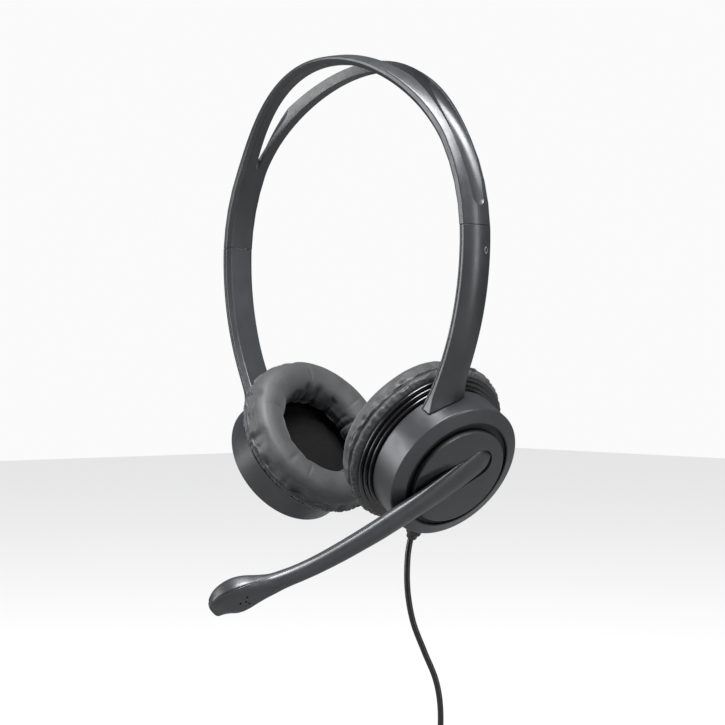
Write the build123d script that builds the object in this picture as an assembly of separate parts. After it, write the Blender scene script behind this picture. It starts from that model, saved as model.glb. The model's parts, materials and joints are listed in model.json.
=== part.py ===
from build123d import *
import os
from math import cos, pi, radians, sin

# Office headset: a slotted headband, two sliding arms, two tilting ear cups and a swivelling microphone boom.
# Frame: the origin is the middle of the headband's underside at the crown, where it rests on a head or a hook.
# +Z is up, +X is the wearer's left ear and -Y is the way the wearer faces. Millimetres.
# The cups have a frame of their own, with x back along the rim, y up along the rim and z out of the cup.

# ---- headband ----
BAND_RADIUS = 75.6          # outer face, a half circle from springline to springline
CROWN_THICKNESS = 4.8
SEAM_THICKNESS = 6.0
STRIP_WIDTH = 6.7           # width of each of the two rails, and half the band's width at its ends
SPREAD = 8.5                # how far each rail stands out from the middle at the crown
SLOT_TIP_ANGLE = 50.0       # from the crown to each end of the slot, in degrees
PLAIN_ANGLE = 60.0          # from here to the ends the band keeps one cross-section
FACE_CROWN = 2.2            # how far the outer face bulges between its edges
EDGE_BEVEL = 1.5
SPRING_Z = CROWN_THICKNESS - BAND_RADIUS
SEAM_Z = SPRING_Z + 4.6     # the joint between band and arm is just above the springline
SEAM_GAP = 0.2
SCOOP_RADIUS = 4.4          # hollow cut into the outer face between the rails
SCOOP_START_ANGLE = 79.0
SCOOP_START_LIFT = 3.1      # height of the cutter's centre above the outer face

# ---- sliding arms ----
ARM_RADIUS = 112.0          # outer face below the springline
ARM_THICKNESS = 6.0
ARM_WIDTH_TOP = 13.4
FOOT_WIDTH = 17.5
FOOT_START_ANGLE = 26.0
FOOT_FLARE = 2.3            # how far the foot's outer face steps out
ARM_END_ANGLE = 31.2        # the arm runs straight into the cup from here, parallel to the cup's face
FOOT_LENGTH = 9.0
SHELL_SPLIT = 3.7           # depth of the parting face below the outer face
STRIP_X = 71.0
STRIP_THICKNESS = 1.2
STRIP_HALF_WIDTH = 3.5
STRIP_IN_ARM = 28.0
STRIP_IN_BAND = 10.0
SLIDE_TRAVEL = 18.0
DETENT_PITCH = 2.5
FIT = 0.05                  # running clearance on a radius or a side
KEY_RADIUS = 1.2            # holes in the strip that lock it in the band
PEG_RADIUS = 1.0            # pegs that hold the arm's two shells together
PEG_DEPTH = 5.0
PEG_ANGLES = (18.5, 27.0)

# ---- ear cups, in the cup's own frame: z = 0 is the front edge of the rim ----
CUP_CENTRE = (50.8, 10.9, -156.4)
CUP_TILT = 31.2             # the face looks down this much
CUP_YAW = -2.75             # and forwards this much
DRUM_RADIUS = 28.1
DRUM_DEPTH = 12.5
DRUM_WALL = 1.6
RIM_INNER_RADIUS = 22.9
RIM_RISE = 1.75
FLOOR_TOP = -1.0
FLOOR_THICKNESS = 1.6
DISC_RADIUS = 19.85
DISC_EDGE_Z = 3.3
DISC_CROWN_Z = 4.1
HUB_RADIUS = 6.0
HUB_BORE = 2.4
COLLAR_INNER = 20.5
COLLAR_BACK = -16.9
CUSHION_RADIUS = 35.0
CUSHION_HOLE = 17.5
CUSHION_FRONT = -31.0
FOOT_GAP = 0.6

# ---- cup hinge, in the cup's frame ----
HINGE_X = -10.9
HINGE_Y = 21.3
HINGE_Z = -8.7
PIN_RADIUS = 1.0
PIN_LENGTH = 10.0
LUG_WIDTH = 5.0
LUG_THICKNESS = 4.0

# ---- microphone boom, along a line in the cup's face plane ----
BOOM_DROP = 34.8            # degrees below the forward direction
BOOM_OFFSET = 1.4           # the line passes this far above the disc's centre
BOOM_WALL = 1.3
# station along the boom, rise of the centreline, half width, half thickness
BOOM_STATIONS = [
    (-17, 0, 5.8, 1.9, 2.0), (-8.8, 0, 5.8, 1.9, 2.0), (0, 0, 5.8, 2.3, 2.0), (9, 0, 5.5, 2.65, 2.0),
    (18, 0, 5.0, 2.85, 2.0), (27, -0.1, 4.8, 3.1, 2.0), (36, -0.4, 4.6, 3.2, 2.0), (45, -0.5, 4.25, 3.2, 2.0),
    (54, -0.6, 4.0, 3.1, 2.0), (63, -0.5, 3.7, 3.0, 2.0), (70, -0.1, 3.6, 2.95, 2.0), (76, 0.5, 3.65, 3.0, 2.1),
    (81, 0.75, 4.45, 3.15, 2.6), (85.5, 1.5, 5.5, 3.4, 3.2), (90, 2.35, 6.7, 3.8, 3.8),
    (94, 2.55, 6.85, 3.85, 4.0), (98, 2.0, 5.8, 3.3, 4.0), (102, 0.6, 3.1, 2.0, 3.4),
]
# station and height of the parting face above the centreline
BOOM_PARTING = [
    (34, 0.0), (50, 0.0), (66, 0.0), (78, 0.1), (84, 1.0),
    (88, 2.0), (92, 2.6), (96, 2.3), (100, 1.3), (106, 0.2),
]
BOOM_ROOT = -8.8            # centre of the boom's rounded end
ROOT_FLOOR = 1.4            # flat bottom of the boom's root in the hub disc
ROOT_EDGE = 0.3             # gap round the boom's rounded end
POCKET_GAP = 0.15           # gap between the boom's sides and the hub disc's recess
WIRE_BORE = 1.4             # radius of the wire's bore through the boom's root
MIC_STATION = 92.0
MIC_LIFT = 1.75             # height of the sound holes' middle above the disc's line
MIC_RADIUS = 2.7
MIC_THICKNESS = 2.2
HOLE_RADIUS = 0.4

# ---- cable and plug ----
CABLE_RADIUS = 1.15
CABLE_EXIT_Z = -8.0
RELIEF_END = -35.5
CABLE_HANG = [
    (24.9, 10.9, -191.0), (24.9, 11.0, -203.0), (26.3, 12.6, -215.0), (29.1, 16.0, -226.5),
    (31.9, 19.5, -237.5), (33.0, 20.9, -248.0),
]
PLUG_TOP = (32.9, 20.9, -264.0)
PLUG_BODY_RADIUS = 4.0
PLUG_BODY_LENGTH = 20.0
PLUG_PIN_RADIUS = 1.75
PLUG_PIN_LENGTH = 14.0

CUP = Plane(
    origin=CUP_CENTRE,
    x_dir=(-sin(radians(CUP_YAW)), cos(radians(CUP_YAW)), 0),
    z_dir=(
        cos(radians(CUP_TILT)) * cos(radians(CUP_YAW)),
        cos(radians(CUP_TILT)) * sin(radians(CUP_YAW)),
        -sin(radians(CUP_TILT)),
    ),
)


# ------------------------------------------------------------------ helpers
def save(shape, name):
    """Write one sub-part."""
    export_step(shape, f"parts/{name}.step")


def save_pair(shape, name):
    """Write a left sub-part and its mirror image for the right side."""
    save(shape, f"left_{name}")
    save(mirror(shape, about=Plane.YZ), f"right_{name}")


def turned(*corners):
    """Solid of revolution about the local Z axis from (radius, height) corners."""
    outline = Polyline(*[(radius, 0, height) for radius, height in corners], close=True)
    return revolve(make_face(outline), Axis.Z)


def ring(inner, outer, low, high):
    """Plain ring, or a disc when the inner radius is zero."""
    body = Pos(0, 0, low) * Cylinder(outer, high - low, align=(Align.CENTER, Align.CENTER, Align.MIN))
    if inner > 0:
        body -= Pos(0, 0, low) * Cylinder(inner, high - low, align=(Align.CENTER, Align.CENTER, Align.MIN))
    return body


def box(x_range, y_range, z_range):
    """Box from its lowest and highest coordinates."""
    low = [x_range[0], y_range[0], z_range[0]]
    size = [x_range[1] - x_range[0], y_range[1] - y_range[0], z_range[1] - z_range[0]]
    return Pos(*low) * Box(*size, align=(Align.MIN, Align.MIN, Align.MIN))


def rod(start, end, radius):
    """Round rod between two points."""
    direction = Vector(*end) - Vector(*start)
    place = Plane(origin=start, z_dir=direction).location
    return place * Cylinder(radius, direction.length, align=(Align.CENTER, Align.CENTER, Align.MIN))


def in_cup(shape):
    """Move a shape from the left cup's frame to the headset's frame."""
    return CUP.location * shape


def bar_face(half_width, thickness, outwards=0.0, bulge=FACE_CROWN):
    """Cross-section of band and arm: outer face bulging at the top, inner face flat with bevelled edges."""
    top = outwards
    low = -thickness
    side = top - bulge
    inner = half_width - EDGE_BEVEL
    edges = [
        ThreePointArc((-half_width, side), (0, top), (half_width, side)),
        Line((half_width, side), (half_width, low + EDGE_BEVEL)),
        Line((half_width, low + EDGE_BEVEL), (inner, low)),
        Line((inner, low), (-inner, low)),
        Line((-inner, low), (-half_width, low + EDGE_BEVEL)),
        Line((-half_width, low + EDGE_BEVEL), (-half_width, side)),
    ]
    return make_face(edges)


# ------------------------------------------------------------------ headband
def band_plane(angle):
    """Cutting plane across the band, this many degrees from the crown towards the left ear."""
    turn = radians(angle)
    return Plane(
        origin=(BAND_RADIUS * sin(turn), 0, SPRING_Z + BAND_RADIUS * cos(turn)),
        x_dir=(0, 1, 0),
        z_dir=(cos(turn), 0, -sin(turn)),
    )


def rail_share(angle):
    """Runs smoothly from one at the crown to zero where the band becomes plain."""
    return cos(radians(90 * angle / PLAIN_ANGLE)) ** 1.6 if abs(angle) < PLAIN_ANGLE else 0.0


def band_half_width(angle):
    """Half the band's width over both rails."""
    return STRIP_WIDTH + SPREAD * rail_share(angle)


def band_thickness(angle):
    """Thickness, falling smoothly from the ends to the crown."""
    return SEAM_THICKNESS - (SEAM_THICKNESS - CROWN_THICKNESS) * rail_share(angle)


def slot_half_width(angle):
    """Half width of the slot between the rails, with a rounded tip at each end."""
    share = 1 - (angle / SLOT_TIP_ANGLE) ** 2
    return 0.9 + (SPREAD - 0.4) * max(0.0, share) ** 1.3


def band_blank():
    """The band before the slot, the scoops and the pockets are cut."""
    count = 5
    angles = [PLAIN_ANGLE * index / count for index in range(-count, count + 1)]
    arch = loft([
        band_plane(angle).location * bar_face(band_half_width(angle), band_thickness(angle))
        for angle in angles
    ])
    end_face = band_plane(PLAIN_ANGLE).location * bar_face(STRIP_WIDTH, SEAM_THICKNESS)
    turning_axis = Axis((0, 0, SPRING_Z), (0, 1, 0))
    end = revolve(end_face, turning_axis, 91 - PLAIN_ANGLE)
    keep = box((-100, 100), (-30, 30), (SEAM_Z, 20))
    return (arch + end + mirror(end, about=Plane.YZ)) & keep


def band_slot():
    """Cutter for the lens-shaped slot between the rails, cut straight down."""
    tip = BAND_RADIUS * sin(radians(SLOT_TIP_ANGLE))
    stations = [-50, -44, -36, -24, -12, 0, 12, 24, 36, 44, 50]
    upper = [
        (BAND_RADIUS * sin(radians(angle)), slot_half_width(angle))
        for angle in stations
    ]
    lower = [(x, -y) for x, y in reversed(upper)]
    front = Spline(*upper)
    back = Spline(*lower)
    right_end = ThreePointArc(upper[-1], (tip + 0.9, 0), lower[0])
    left_end = ThreePointArc(lower[-1], (-tip - 0.9, 0), upper[0])
    outline = make_face([front, right_end, back, left_end])
    return extrude(Pos(0, 0, -60) * outline, 80)


def band_scoop():
    """Cutter for the hollow in the outer face that runs from near the left end up into the slot."""
    def centre(angle, lift):
        radius = BAND_RADIUS + lift
        return (radius * sin(radians(angle)), 0, SPRING_Z + radius * cos(radians(angle)))

    start = centre(SCOOP_START_ANGLE, SCOOP_START_LIFT)
    path = ThreePointArc(start, centre(57, 0.9), centre(33, -1.4))
    profile = Plane(origin=path @ 0, z_dir=path % 0) * Circle(SCOOP_RADIUS)
    return sweep(profile, path) + Pos(*start) * Sphere(SCOOP_RADIUS)


def strip_pocket(clearance):
    """Left pocket or body of the steel strip, from inside the band down into the arm."""
    half = STRIP_THICKNESS / 2 + clearance
    width = STRIP_HALF_WIDTH + clearance
    return box(
        (STRIP_X - half, STRIP_X + half),
        (-width, width),
        (SEAM_Z - STRIP_IN_ARM - 10 * clearance, SEAM_Z + STRIP_IN_BAND + clearance),
    )


def build_headband():
    """Band moulded round the upper ends of the steel strips."""
    band = band_blank() - band_slot()
    for cut in (band_scoop(), strip_with_keys()):
        band = band - cut - mirror(cut, about=Plane.YZ)
    save(band, "headband")


def strip_with_keys():
    """Left steel strip before its notches are cut, with two holes that the band's plastic fills."""
    strip = strip_pocket(0)
    for lift in (3.4, 7.0):
        height = SEAM_Z + lift
        strip -= rod((STRIP_X - 2, 0, height), (STRIP_X + 2, 0, height), KEY_RADIUS)
    return strip


def build_strip():
    """Steel slider strip with detent notches along its front edge."""
    strip = strip_with_keys()
    count = int(SLIDE_TRAVEL / DETENT_PITCH) + 1
    for index in range(count):
        height = SEAM_Z - 6.0 - index * DETENT_PITCH
        edge = -STRIP_HALF_WIDTH - 0.3
        strip -= rod((STRIP_X - 2, edge, height), (STRIP_X + 2, edge, height), 0.9)
    save_pair(strip, "slider_strip")


# ------------------------------------------------------------------ arms
def arm_plane(angle, beyond=0.0):
    """Cutting plane across the arm, this many degrees below the springline, or a length beyond that."""
    turn = radians(angle)
    along = Vector(-sin(turn), 0, -cos(turn))
    centre_x = BAND_RADIUS - ARM_RADIUS
    point = Vector(centre_x + ARM_RADIUS * cos(turn), 0, SPRING_Z - ARM_RADIUS * sin(turn)) + along * beyond
    return Plane(origin=point, x_dir=(0, 1, 0), z_dir=along)


def arm_blank():
    """The arm with its flared foot, before the cup's clearance is cut."""
    half = ARM_WIDTH_TOP / 2
    wide = FOOT_WIDTH / 2
    start_angle = -4.0
    top_face = arm_plane(start_angle).location * bar_face(half, ARM_THICKNESS)
    turning_axis = Axis((BAND_RADIUS - ARM_RADIUS, 0, SPRING_Z), (0, 1, 0))
    shaft = revolve(top_face, turning_axis, FOOT_START_ANGLE - start_angle)
    foot_sections = [
        (FOOT_START_ANGLE, 0, half, 0.0),
        (29, 0, half + 0.3, 0.15),
        (ARM_END_ANGLE, 0.6, half + 0.8, 0.6),
        (ARM_END_ANGLE, 4.2, wide - 0.5, FOOT_FLARE - 0.4),
        (ARM_END_ANGLE, FOOT_LENGTH, wide + 0.4, FOOT_FLARE + 0.8),
    ]
    foot = loft([
        arm_plane(angle, beyond).location * bar_face(width, ARM_THICKNESS, flare)
        for angle, beyond, width, flare in foot_sections
    ])
    keep = box((0, 100), (-30, 30), (-200, SEAM_Z - SEAM_GAP))
    return (shaft + foot) & keep


def cup_clearance():
    """Space that the drum and the collar need under the arm's foot, in the cup's frame."""
    near = DRUM_RADIUS + FOOT_GAP
    far = 33.2
    return turned((0, 6), (near, 6), (near, -12.2), (far, -12.9), (far, -24), (0, -24))


def hinge_lug(clearance=0.0):
    """Tongue of the arm that reaches through the drum's wall to the hinge pin, in the cup's frame."""
    half = LUG_WIDTH / 2 + clearance
    thick = LUG_THICKNESS / 2
    body = box(
        (HINGE_X - half, HINGE_X + half),
        (HINGE_Y, 31),
        (HINGE_Z - thick, HINGE_Z + thick),
    )
    return body + rod((HINGE_X - half, HINGE_Y, HINGE_Z), (HINGE_X + half, HINGE_Y, HINGE_Z), thick)


def hinge_rod(radius, clearance=0.0):
    """Rod along the hinge axis, in the cup's frame."""
    half = PIN_LENGTH / 2 + clearance
    return rod((HINGE_X - half, HINGE_Y, HINGE_Z), (HINGE_X + half, HINGE_Y, HINGE_Z), radius)


def arm_inner_region():
    """Everything deeper than the parting face between the two arm shells."""
    angles = [-2.6, 8, 18, 26]
    places = [arm_plane(angle) for angle in angles]
    places.append(arm_plane(ARM_END_ANGLE, 1))
    places.append(arm_plane(ARM_END_ANGLE, 5.0))
    face = Pos(0, -SHELL_SPLIT - 8) * Rectangle(40, 16)
    return loft([place.location * face for place in places])


def arm_peg(angle, tip_depth):
    """Peg of the outer shell, or the blind hole for it, that locates the inner shell."""
    place = arm_plane(angle)
    start = place.from_local_coords(Vector(0, -tip_depth, 0))
    end = place.from_local_coords(Vector(0, -SHELL_SPLIT + 0.2, 0))
    return rod(tuple(start), tuple(end), PEG_RADIUS)


def arm_hollow():
    """Space inside the arm for the lead, below the strip and between the pegs."""
    places = [arm_plane(angle) for angle in (19.8, 22.6, 25.4)]
    face = Pos(0, -3.4) * Rectangle(9, 2.6)
    return loft([place.location * face for place in places])


def build_arms():
    """Both shells of the left arm and the parts inside them, mirrored for the right."""
    clearance = in_cup(cup_clearance())
    lug = in_cup(hinge_lug())
    blank = arm_blank() - clearance
    pocket = strip_pocket(FIT)
    spring_room = box((STRIP_X - 0.75, STRIP_X + 0.75), (-5.4, -STRIP_HALF_WIDTH), (SEAM_Z - 10.4, SEAM_Z - 1.6))
    inner_region = arm_inner_region()
    pin_hole = in_cup(hinge_rod(PIN_RADIUS, 1))
    outer = blank - inner_region - pocket - spring_room - arm_hollow() + lug - pin_hole
    inner = (blank & inner_region) - pocket - spring_room - arm_hollow() - lug
    for angle in PEG_ANGLES:
        outer = outer + arm_peg(angle, PEG_DEPTH)
        inner = inner - arm_peg(angle, PEG_DEPTH + 0.1)
    save_pair(outer, "arm_outer_shell")
    save_pair(inner, "arm_inner_shell")
    save_pair(in_cup(hinge_rod(PIN_RADIUS)), "hinge_pin")


def build_springs():
    """Detent springs that press on the strips' notched edges."""
    touch = -STRIP_HALF_WIDTH - 0.06
    thick = 0.3
    bow = [(touch - 1.3, -9.6), (touch, -6.0), (touch - 1.3, -2.4)]
    near = ThreePointArc(*bow)
    far = ThreePointArc(*[(y - thick, z) for y, z in bow])
    face = make_face([near, far, Line(bow[0], far @ 0), Line(bow[2], far @ 1)])
    lifted = Plane(origin=(STRIP_X - 0.6, 0, SEAM_Z), x_dir=(0, 1, 0), z_dir=(1, 0, 0)).location * face
    save_pair(extrude(lifted, 1.2), "detent_spring")


# ------------------------------------------------------------------ ear cups
def screw_spots():
    """Places of the three cup screws, in the cup's frame."""
    return [(23.7 * sin(radians(turn)), 23.7 * cos(radians(turn))) for turn in (70, 180 - 25, 180 + 65)]


def lug_slot():
    """Opening in the drum's wall that the arm's lug swings in, in the cup's frame."""
    half = LUG_WIDTH / 2 + 0.25
    swing = LUG_THICKNESS / 2 + 0.75
    return box((HINGE_X - half, HINGE_X + half), (17, 31), (HINGE_Z - swing, HINGE_Z + swing))


def hinge_ears():
    """Two bearing blocks under the drum's wall that carry the hinge pin."""
    half = PIN_LENGTH / 2 + 0.4
    under_floor = FLOOR_TOP - FLOOR_THICKNESS
    block = box((HINGE_X - half, HINGE_X + half), (HINGE_Y - 2.4, 30), (HINGE_Z - 2.2, under_floor))
    return block & ring(0, DRUM_RADIUS - 0.5, -12, 0)


def cup_shell():
    """Drum, rim and floor, with the hinge ears and the screw posts."""
    floor_low = FLOOR_TOP - FLOOR_THICKNESS
    inner = DRUM_RADIUS - DRUM_WALL
    shell = turned(
        (HUB_RADIUS + FIT, FLOOR_TOP),
        (RIM_INNER_RADIUS, FLOOR_TOP),
        (RIM_INNER_RADIUS, RIM_RISE),
        (DRUM_RADIUS - 0.35, 0),
        (DRUM_RADIUS, -0.35),
        (DRUM_RADIUS, -DRUM_DEPTH),
        (inner, -DRUM_DEPTH),
        (inner, floor_low),
        (HUB_RADIUS + FIT, floor_low),
    )
    shell += hinge_ears()
    for x, y in screw_spots():
        stub = Cylinder(2.3, DRUM_DEPTH - 1.5 + floor_low, align=(Align.CENTER, Align.CENTER, Align.MIN))
        post = Pos(x, y, -DRUM_DEPTH + 1.5) * stub
        shell += post
        shell -= Pos(x, y, -DRUM_DEPTH) * Cylinder(1.0, 6, align=(Align.CENTER, Align.CENTER, Align.MIN))
    shell -= lug_slot()
    shell -= hinge_rod(PIN_RADIUS + FIT, 0.2)
    return shell


def collar():
    """Black ribbed ring between the drum and the cushion, with the hole for the sound."""
    ribs = [(29.4, -13.2, -14.2), (30.8, -14.2, -15.4), (32.2, -15.4, COLLAR_BACK)]
    body = ring(COLLAR_INNER, 27.3, -13.2, -DRUM_DEPTH)
    for radius, high, low in ribs:
        body += ring(COLLAR_INNER, radius, low, high)
    for x, y in screw_spots():
        body -= Pos(x, y, -20) * Cylinder(1.0, 10, align=(Align.CENTER, Align.CENTER, Align.MIN))
        body -= Pos(x, y, -20) * Cylinder(2.0, 5.6, align=(Align.CENTER, Align.CENTER, Align.MIN))
    return body


def cup_screws():
    """Three screws through the collar and the baffle into the drum's posts."""
    screws = []
    for x, y in screw_spots():
        head = Pos(x, y, -15.6) * Cylinder(1.9, 1.2, align=(Align.CENTER, Align.CENTER, Align.MIN))
        shank = Pos(x, y, -14.4) * Cylinder(1.0, 7.4, align=(Align.CENTER, Align.CENTER, Align.MIN))
        screws.append(head + shank)
    return Compound(children=screws)


def baffle():
    """Plate inside the drum's open end that carries the driver."""
    plate = ring(0, DRUM_RADIUS - DRUM_WALL - FIT, -DRUM_DEPTH, -11.0)
    plate -= ring(0, 2.2, -DRUM_DEPTH, -11.0)
    for index in range(6):
        turn = radians(60 * index)
        plate -= Pos(8.5 * cos(turn), 8.5 * sin(turn), -DRUM_DEPTH) * Cylinder(2.2, 4)
    for x, y in screw_spots():
        plate -= Pos(x, y, -DRUM_DEPTH) * Cylinder(1.0, 4)
    return plate - lug_slot()


def cushion():
    """Plain closed ring with the cushion's true outer size."""
    spots = [
        (18.2, -17.0), (32.3, -17.0), (34.4, -19.0), (CUSHION_RADIUS, -22.4), (33.9, -26.4), (31.0, -29.6),
        (26.6, CUSHION_FRONT), (22.0, -30.1), (18.8, -27.0), (CUSHION_HOLE, -22.5),
    ]
    return turned(*spots)


def driver_frame():
    """Basket that holds the diaphragm's edge and the magnet."""
    return turned(
        (16.0, -11.0), (16.0, -9.6), (9.6, -8.0), (9.6, -5.4), (8.6, -5.4), (8.6, -9.0), (14.4, -10.4), (14.4, -11.0)
    )


def magnet():
    """Pot magnet with the gap for the voice coil."""
    pot = ring(0, 8.6, -9.0, -5.4)
    return pot - ring(6.3, 7.5, -9.0, -7.0)


def voice_coil():
    """Coil in the magnet's gap, on the back of the diaphragm."""
    return ring(6.6, 7.2, -10.35, -7.6)


def diaphragm():
    """Thin dished sheet between the basket and the coil."""
    return turned(
        (0, -10.0), (4.5, -10.2), (7.2, -10.6), (14.4, -10.75), (14.4, -11.0), (7.2, -10.85), (4.5, -10.45), (0, -10.25)
    )


def domed_disc(radius, underside):
    """Slightly domed disc that fills the middle of the cup's face."""
    dome = ThreePointArc((0, 0, DISC_CROWN_Z), (radius / 2, 0, DISC_CROWN_Z - 0.2), (radius, 0, DISC_EDGE_Z))
    lines = [
        dome,
        Line((radius, 0, DISC_EDGE_Z), (radius, 0, underside)),
        Line((radius, 0, underside), (0, 0, underside)),
        Line((0, 0, underside), (0, 0, DISC_CROWN_Z)),
    ]
    return revolve(make_face(lines), Axis.Z)


def groove_liner():
    """Black ring in the groove round the disc, turned up along the rim."""
    inner = DISC_RADIUS + 0.15
    wall = RIM_INNER_RADIUS - 0.3
    return turned(
        (inner, FLOOR_TOP), (RIM_INNER_RADIUS, FLOOR_TOP), (RIM_INNER_RADIUS, 1.5),
        (wall, 1.5), (wall, 0.6), (inner, 0.6),
    )


def relief_hole(radius):
    """Rod along the cable's way out of the bottom of the left cup."""
    return rod((0, -24.5, CABLE_EXIT_Z), (0, -40, CABLE_EXIT_Z), radius)


def terminal_board():
    """Small circuit board where the cable, the driver wires and the boom wire meet."""
    return box((-7, 7), (-22.5, -12), (-5.4, -4.4))


def build_cups():
    """Everything in the two ear cups apart from the boom."""
    shell = cup_shell()
    posts = [box((x - 1, x + 1), (-19, -15), (-4.4, FLOOR_TOP - FLOOR_THICKNESS)) for x in (-5, 5)]
    left_shell = shell - relief_hole(2.6)
    for post in posts:
        left_shell += post
    save(in_cup(left_shell), "left_cup_housing")
    save(mirror(in_cup(shell), about=Plane.YZ), "right_cup_housing")
    save(in_cup(terminal_board()), "terminal_board")
    save_pair(in_cup(groove_liner()), "groove_ring")
    save_pair(in_cup(collar()), "cushion_collar")
    save_pair(in_cup(cup_screws()), "cup_screws")
    save_pair(in_cup(baffle()), "baffle")
    save_pair(in_cup(ring(0, 20.3, -13.3, -DRUM_DEPTH)), "damping_disc")
    save_pair(in_cup(cushion()), "cushion")
    save_pair(in_cup(driver_frame()), "driver_frame")
    save_pair(in_cup(magnet()), "magnet")
    save_pair(in_cup(voice_coil()), "voice_coil")
    save_pair(in_cup(diaphragm()), "diaphragm")
    cap = domed_disc(DISC_RADIUS, FLOOR_TOP) + ring(0, HUB_RADIUS, -3.4, FLOOR_TOP)
    save(mirror(in_cup(cap), about=Plane.YZ), "right_cap_disc")


# ------------------------------------------------------------------ boom
def boom_level(station):
    """Height of the boom's centreline above the cup's rim plane, falling towards the mouth."""
    if station < 25:
        return 5.0 - 2.4 * ((25 - station) / 34) ** 1.6
    return 5.0 - 8.5 * ((station - 25) / 77) ** 2.6


def boom_sizes(station):
    """Rise of the centreline, half width across and half thickness of the boom at this station."""
    for before, after in zip(BOOM_STATIONS, BOOM_STATIONS[1:]):
        if before[0] <= station <= after[0]:
            share = (station - before[0]) / (after[0] - before[0])
            return [low + share * (high - low) for low, high in zip(before[1:], after[1:])]
    return BOOM_STATIONS[-1][1:]


BOOM_ALONG = Vector(-cos(radians(BOOM_DROP)), -sin(radians(BOOM_DROP)), 0)
BOOM_UP = Vector(-sin(radians(BOOM_DROP)), cos(radians(BOOM_DROP)), 0)


def boom_point(station, up=0.0, out=0.0):
    """Point at a station along the boom, in the cup's frame."""
    rise = boom_sizes(station)[0] if station > BOOM_STATIONS[0][0] else 0.0
    return BOOM_ALONG * station + BOOM_UP * (BOOM_OFFSET + rise + up) + Vector(0, 0, boom_level(station) + out)


def boom_plane(station):
    """Cutting plane across the boom: x is up across it, y is outwards."""
    step = 0.5
    along = boom_point(station + step) - boom_point(station - step)
    upward = BOOM_UP - along * (BOOM_UP.dot(along) / along.dot(along))
    return Plane(origin=boom_point(station), x_dir=upward, z_dir=along)


def boom_section(across, through, squareness):
    """Closed smooth outline between an ellipse (squareness 2) and a rounded rectangle."""
    count = 8
    spots = []
    for index in range(count):
        turn = 2 * pi * index / count
        x = abs(cos(turn)) ** (2 / squareness) * (1 if cos(turn) > 0 else -1)
        y = abs(sin(turn)) ** (2 / squareness) * (1 if sin(turn) > 0 else -1)
        spots.append((across * x, through * y))
    return make_face(Spline(*spots, periodic=True))


def boom_solid(stations, wall=0.0):
    """Loft of sections along the boom, thinner by the wall for the hollow."""
    sections = []
    for station in stations:
        across, through, squareness = boom_sizes(station)[1:]
        sections.append(boom_plane(station).location * boom_section(across - wall, through - wall, squareness))
    return loft(sections)


def boom_pocket(clearance):
    """Flat-bottomed recess of the hub disc that the boom's root lies in."""
    across = BOOM_STATIONS[0][2] + clearance
    centre = BOOM_ALONG * BOOM_ROOT + BOOM_UP * BOOM_OFFSET
    place = Plane(origin=centre, x_dir=BOOM_ALONG, z_dir=(0, 0, 1)).location
    outline = Circle(across) + Pos(20, 0) * Rectangle(40, 2 * across)
    return place * (Pos(0, 0, ROOT_FLOOR) * extrude(outline, 20))


def boom_root_end(solid):
    """The boom with its root rounded off in plan and cut flat underneath, to lie in the hub disc."""
    across = BOOM_STATIONS[0][2]
    centre = BOOM_ALONG * BOOM_ROOT + BOOM_UP * BOOM_OFFSET
    place = Plane(origin=centre, x_dir=BOOM_ALONG, z_dir=(0, 0, 1)).location
    corner = place * (Pos(-10, 0, 0) * Box(20, 20, 30))
    rounding = place * Cylinder(across - ROOT_EDGE, 40)
    below = place * (Pos(5, 0, ROOT_FLOOR - 5) * Box(33, 20, 10))
    rounded = solid - (corner - rounding)
    return rounded - below


def mic_place(out):
    """Placement over the middle of the mic head, facing outwards, this far above the centreline."""
    height = boom_level(MIC_STATION) + out
    origin = BOOM_ALONG * MIC_STATION + BOOM_UP * (BOOM_OFFSET + MIC_LIFT) + Vector(0, 0, height)
    return Plane(origin=origin, x_dir=BOOM_ALONG, z_dir=(0, 0, 1)).location


def mic_disc(radius, low, high):
    """Disc behind the sound holes between two heights above the centreline."""
    return mic_place(low) * Cylinder(radius, high - low, align=(Align.CENTER, Align.CENTER, Align.MIN))


def sound_holes():
    """Four small holes over the microphone."""
    spots = [(-1.0, 1.95), (0.0, 0.0), (2.0, 0.2), (-0.9, -1.55)]
    hole = Cylinder(HOLE_RADIUS, 6, align=(Align.CENTER, Align.CENTER, Align.MIN))
    return [mic_place(1.8) * (Pos(x, y, 0) * hole) for x, y in spots]


def outer_region():
    """Everything outwards of the boom's parting face, from outside the rim to the tip."""
    edge = [(station, boom_level(station) + lift) for station, lift in BOOM_PARTING]
    sideways = BOOM_ALONG.cross(Vector(0, 0, 1))
    place = Plane(origin=BOOM_UP * (BOOM_OFFSET - 20), x_dir=BOOM_ALONG, z_dir=sideways).location
    parting = Spline(*edge)
    first, last = edge[0], edge[-1]
    outline = make_face([
        parting,
        Line(last, (last[0], 30)),
        Line((last[0], 30), (first[0], 30)),
        Line((first[0], 30), first),
    ])
    return place * extrude(outline, 40 if BOOM_ALONG.cross(Vector(0, 0, 1)).dot(BOOM_UP) > 0 else -40)


def wire_bores():
    """Straight bores for the wire through the boom's root, from the hollow to the hub."""
    ahead, middle, bend, low = boom_point(36), boom_point(12), Vector(0.4, 0, 1.4), Vector(0, 0, -5)
    beyond = middle + (bend - middle) * 1.06
    return [
        rod(tuple(ahead), tuple(middle + (middle - ahead) * 0.05), WIRE_BORE),
        rod(tuple(middle + (middle - bend) * 0.06), tuple(beyond), WIRE_BORE),
        rod((0.3, 0, 3.0), tuple(low), WIRE_BORE),
    ]


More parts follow.
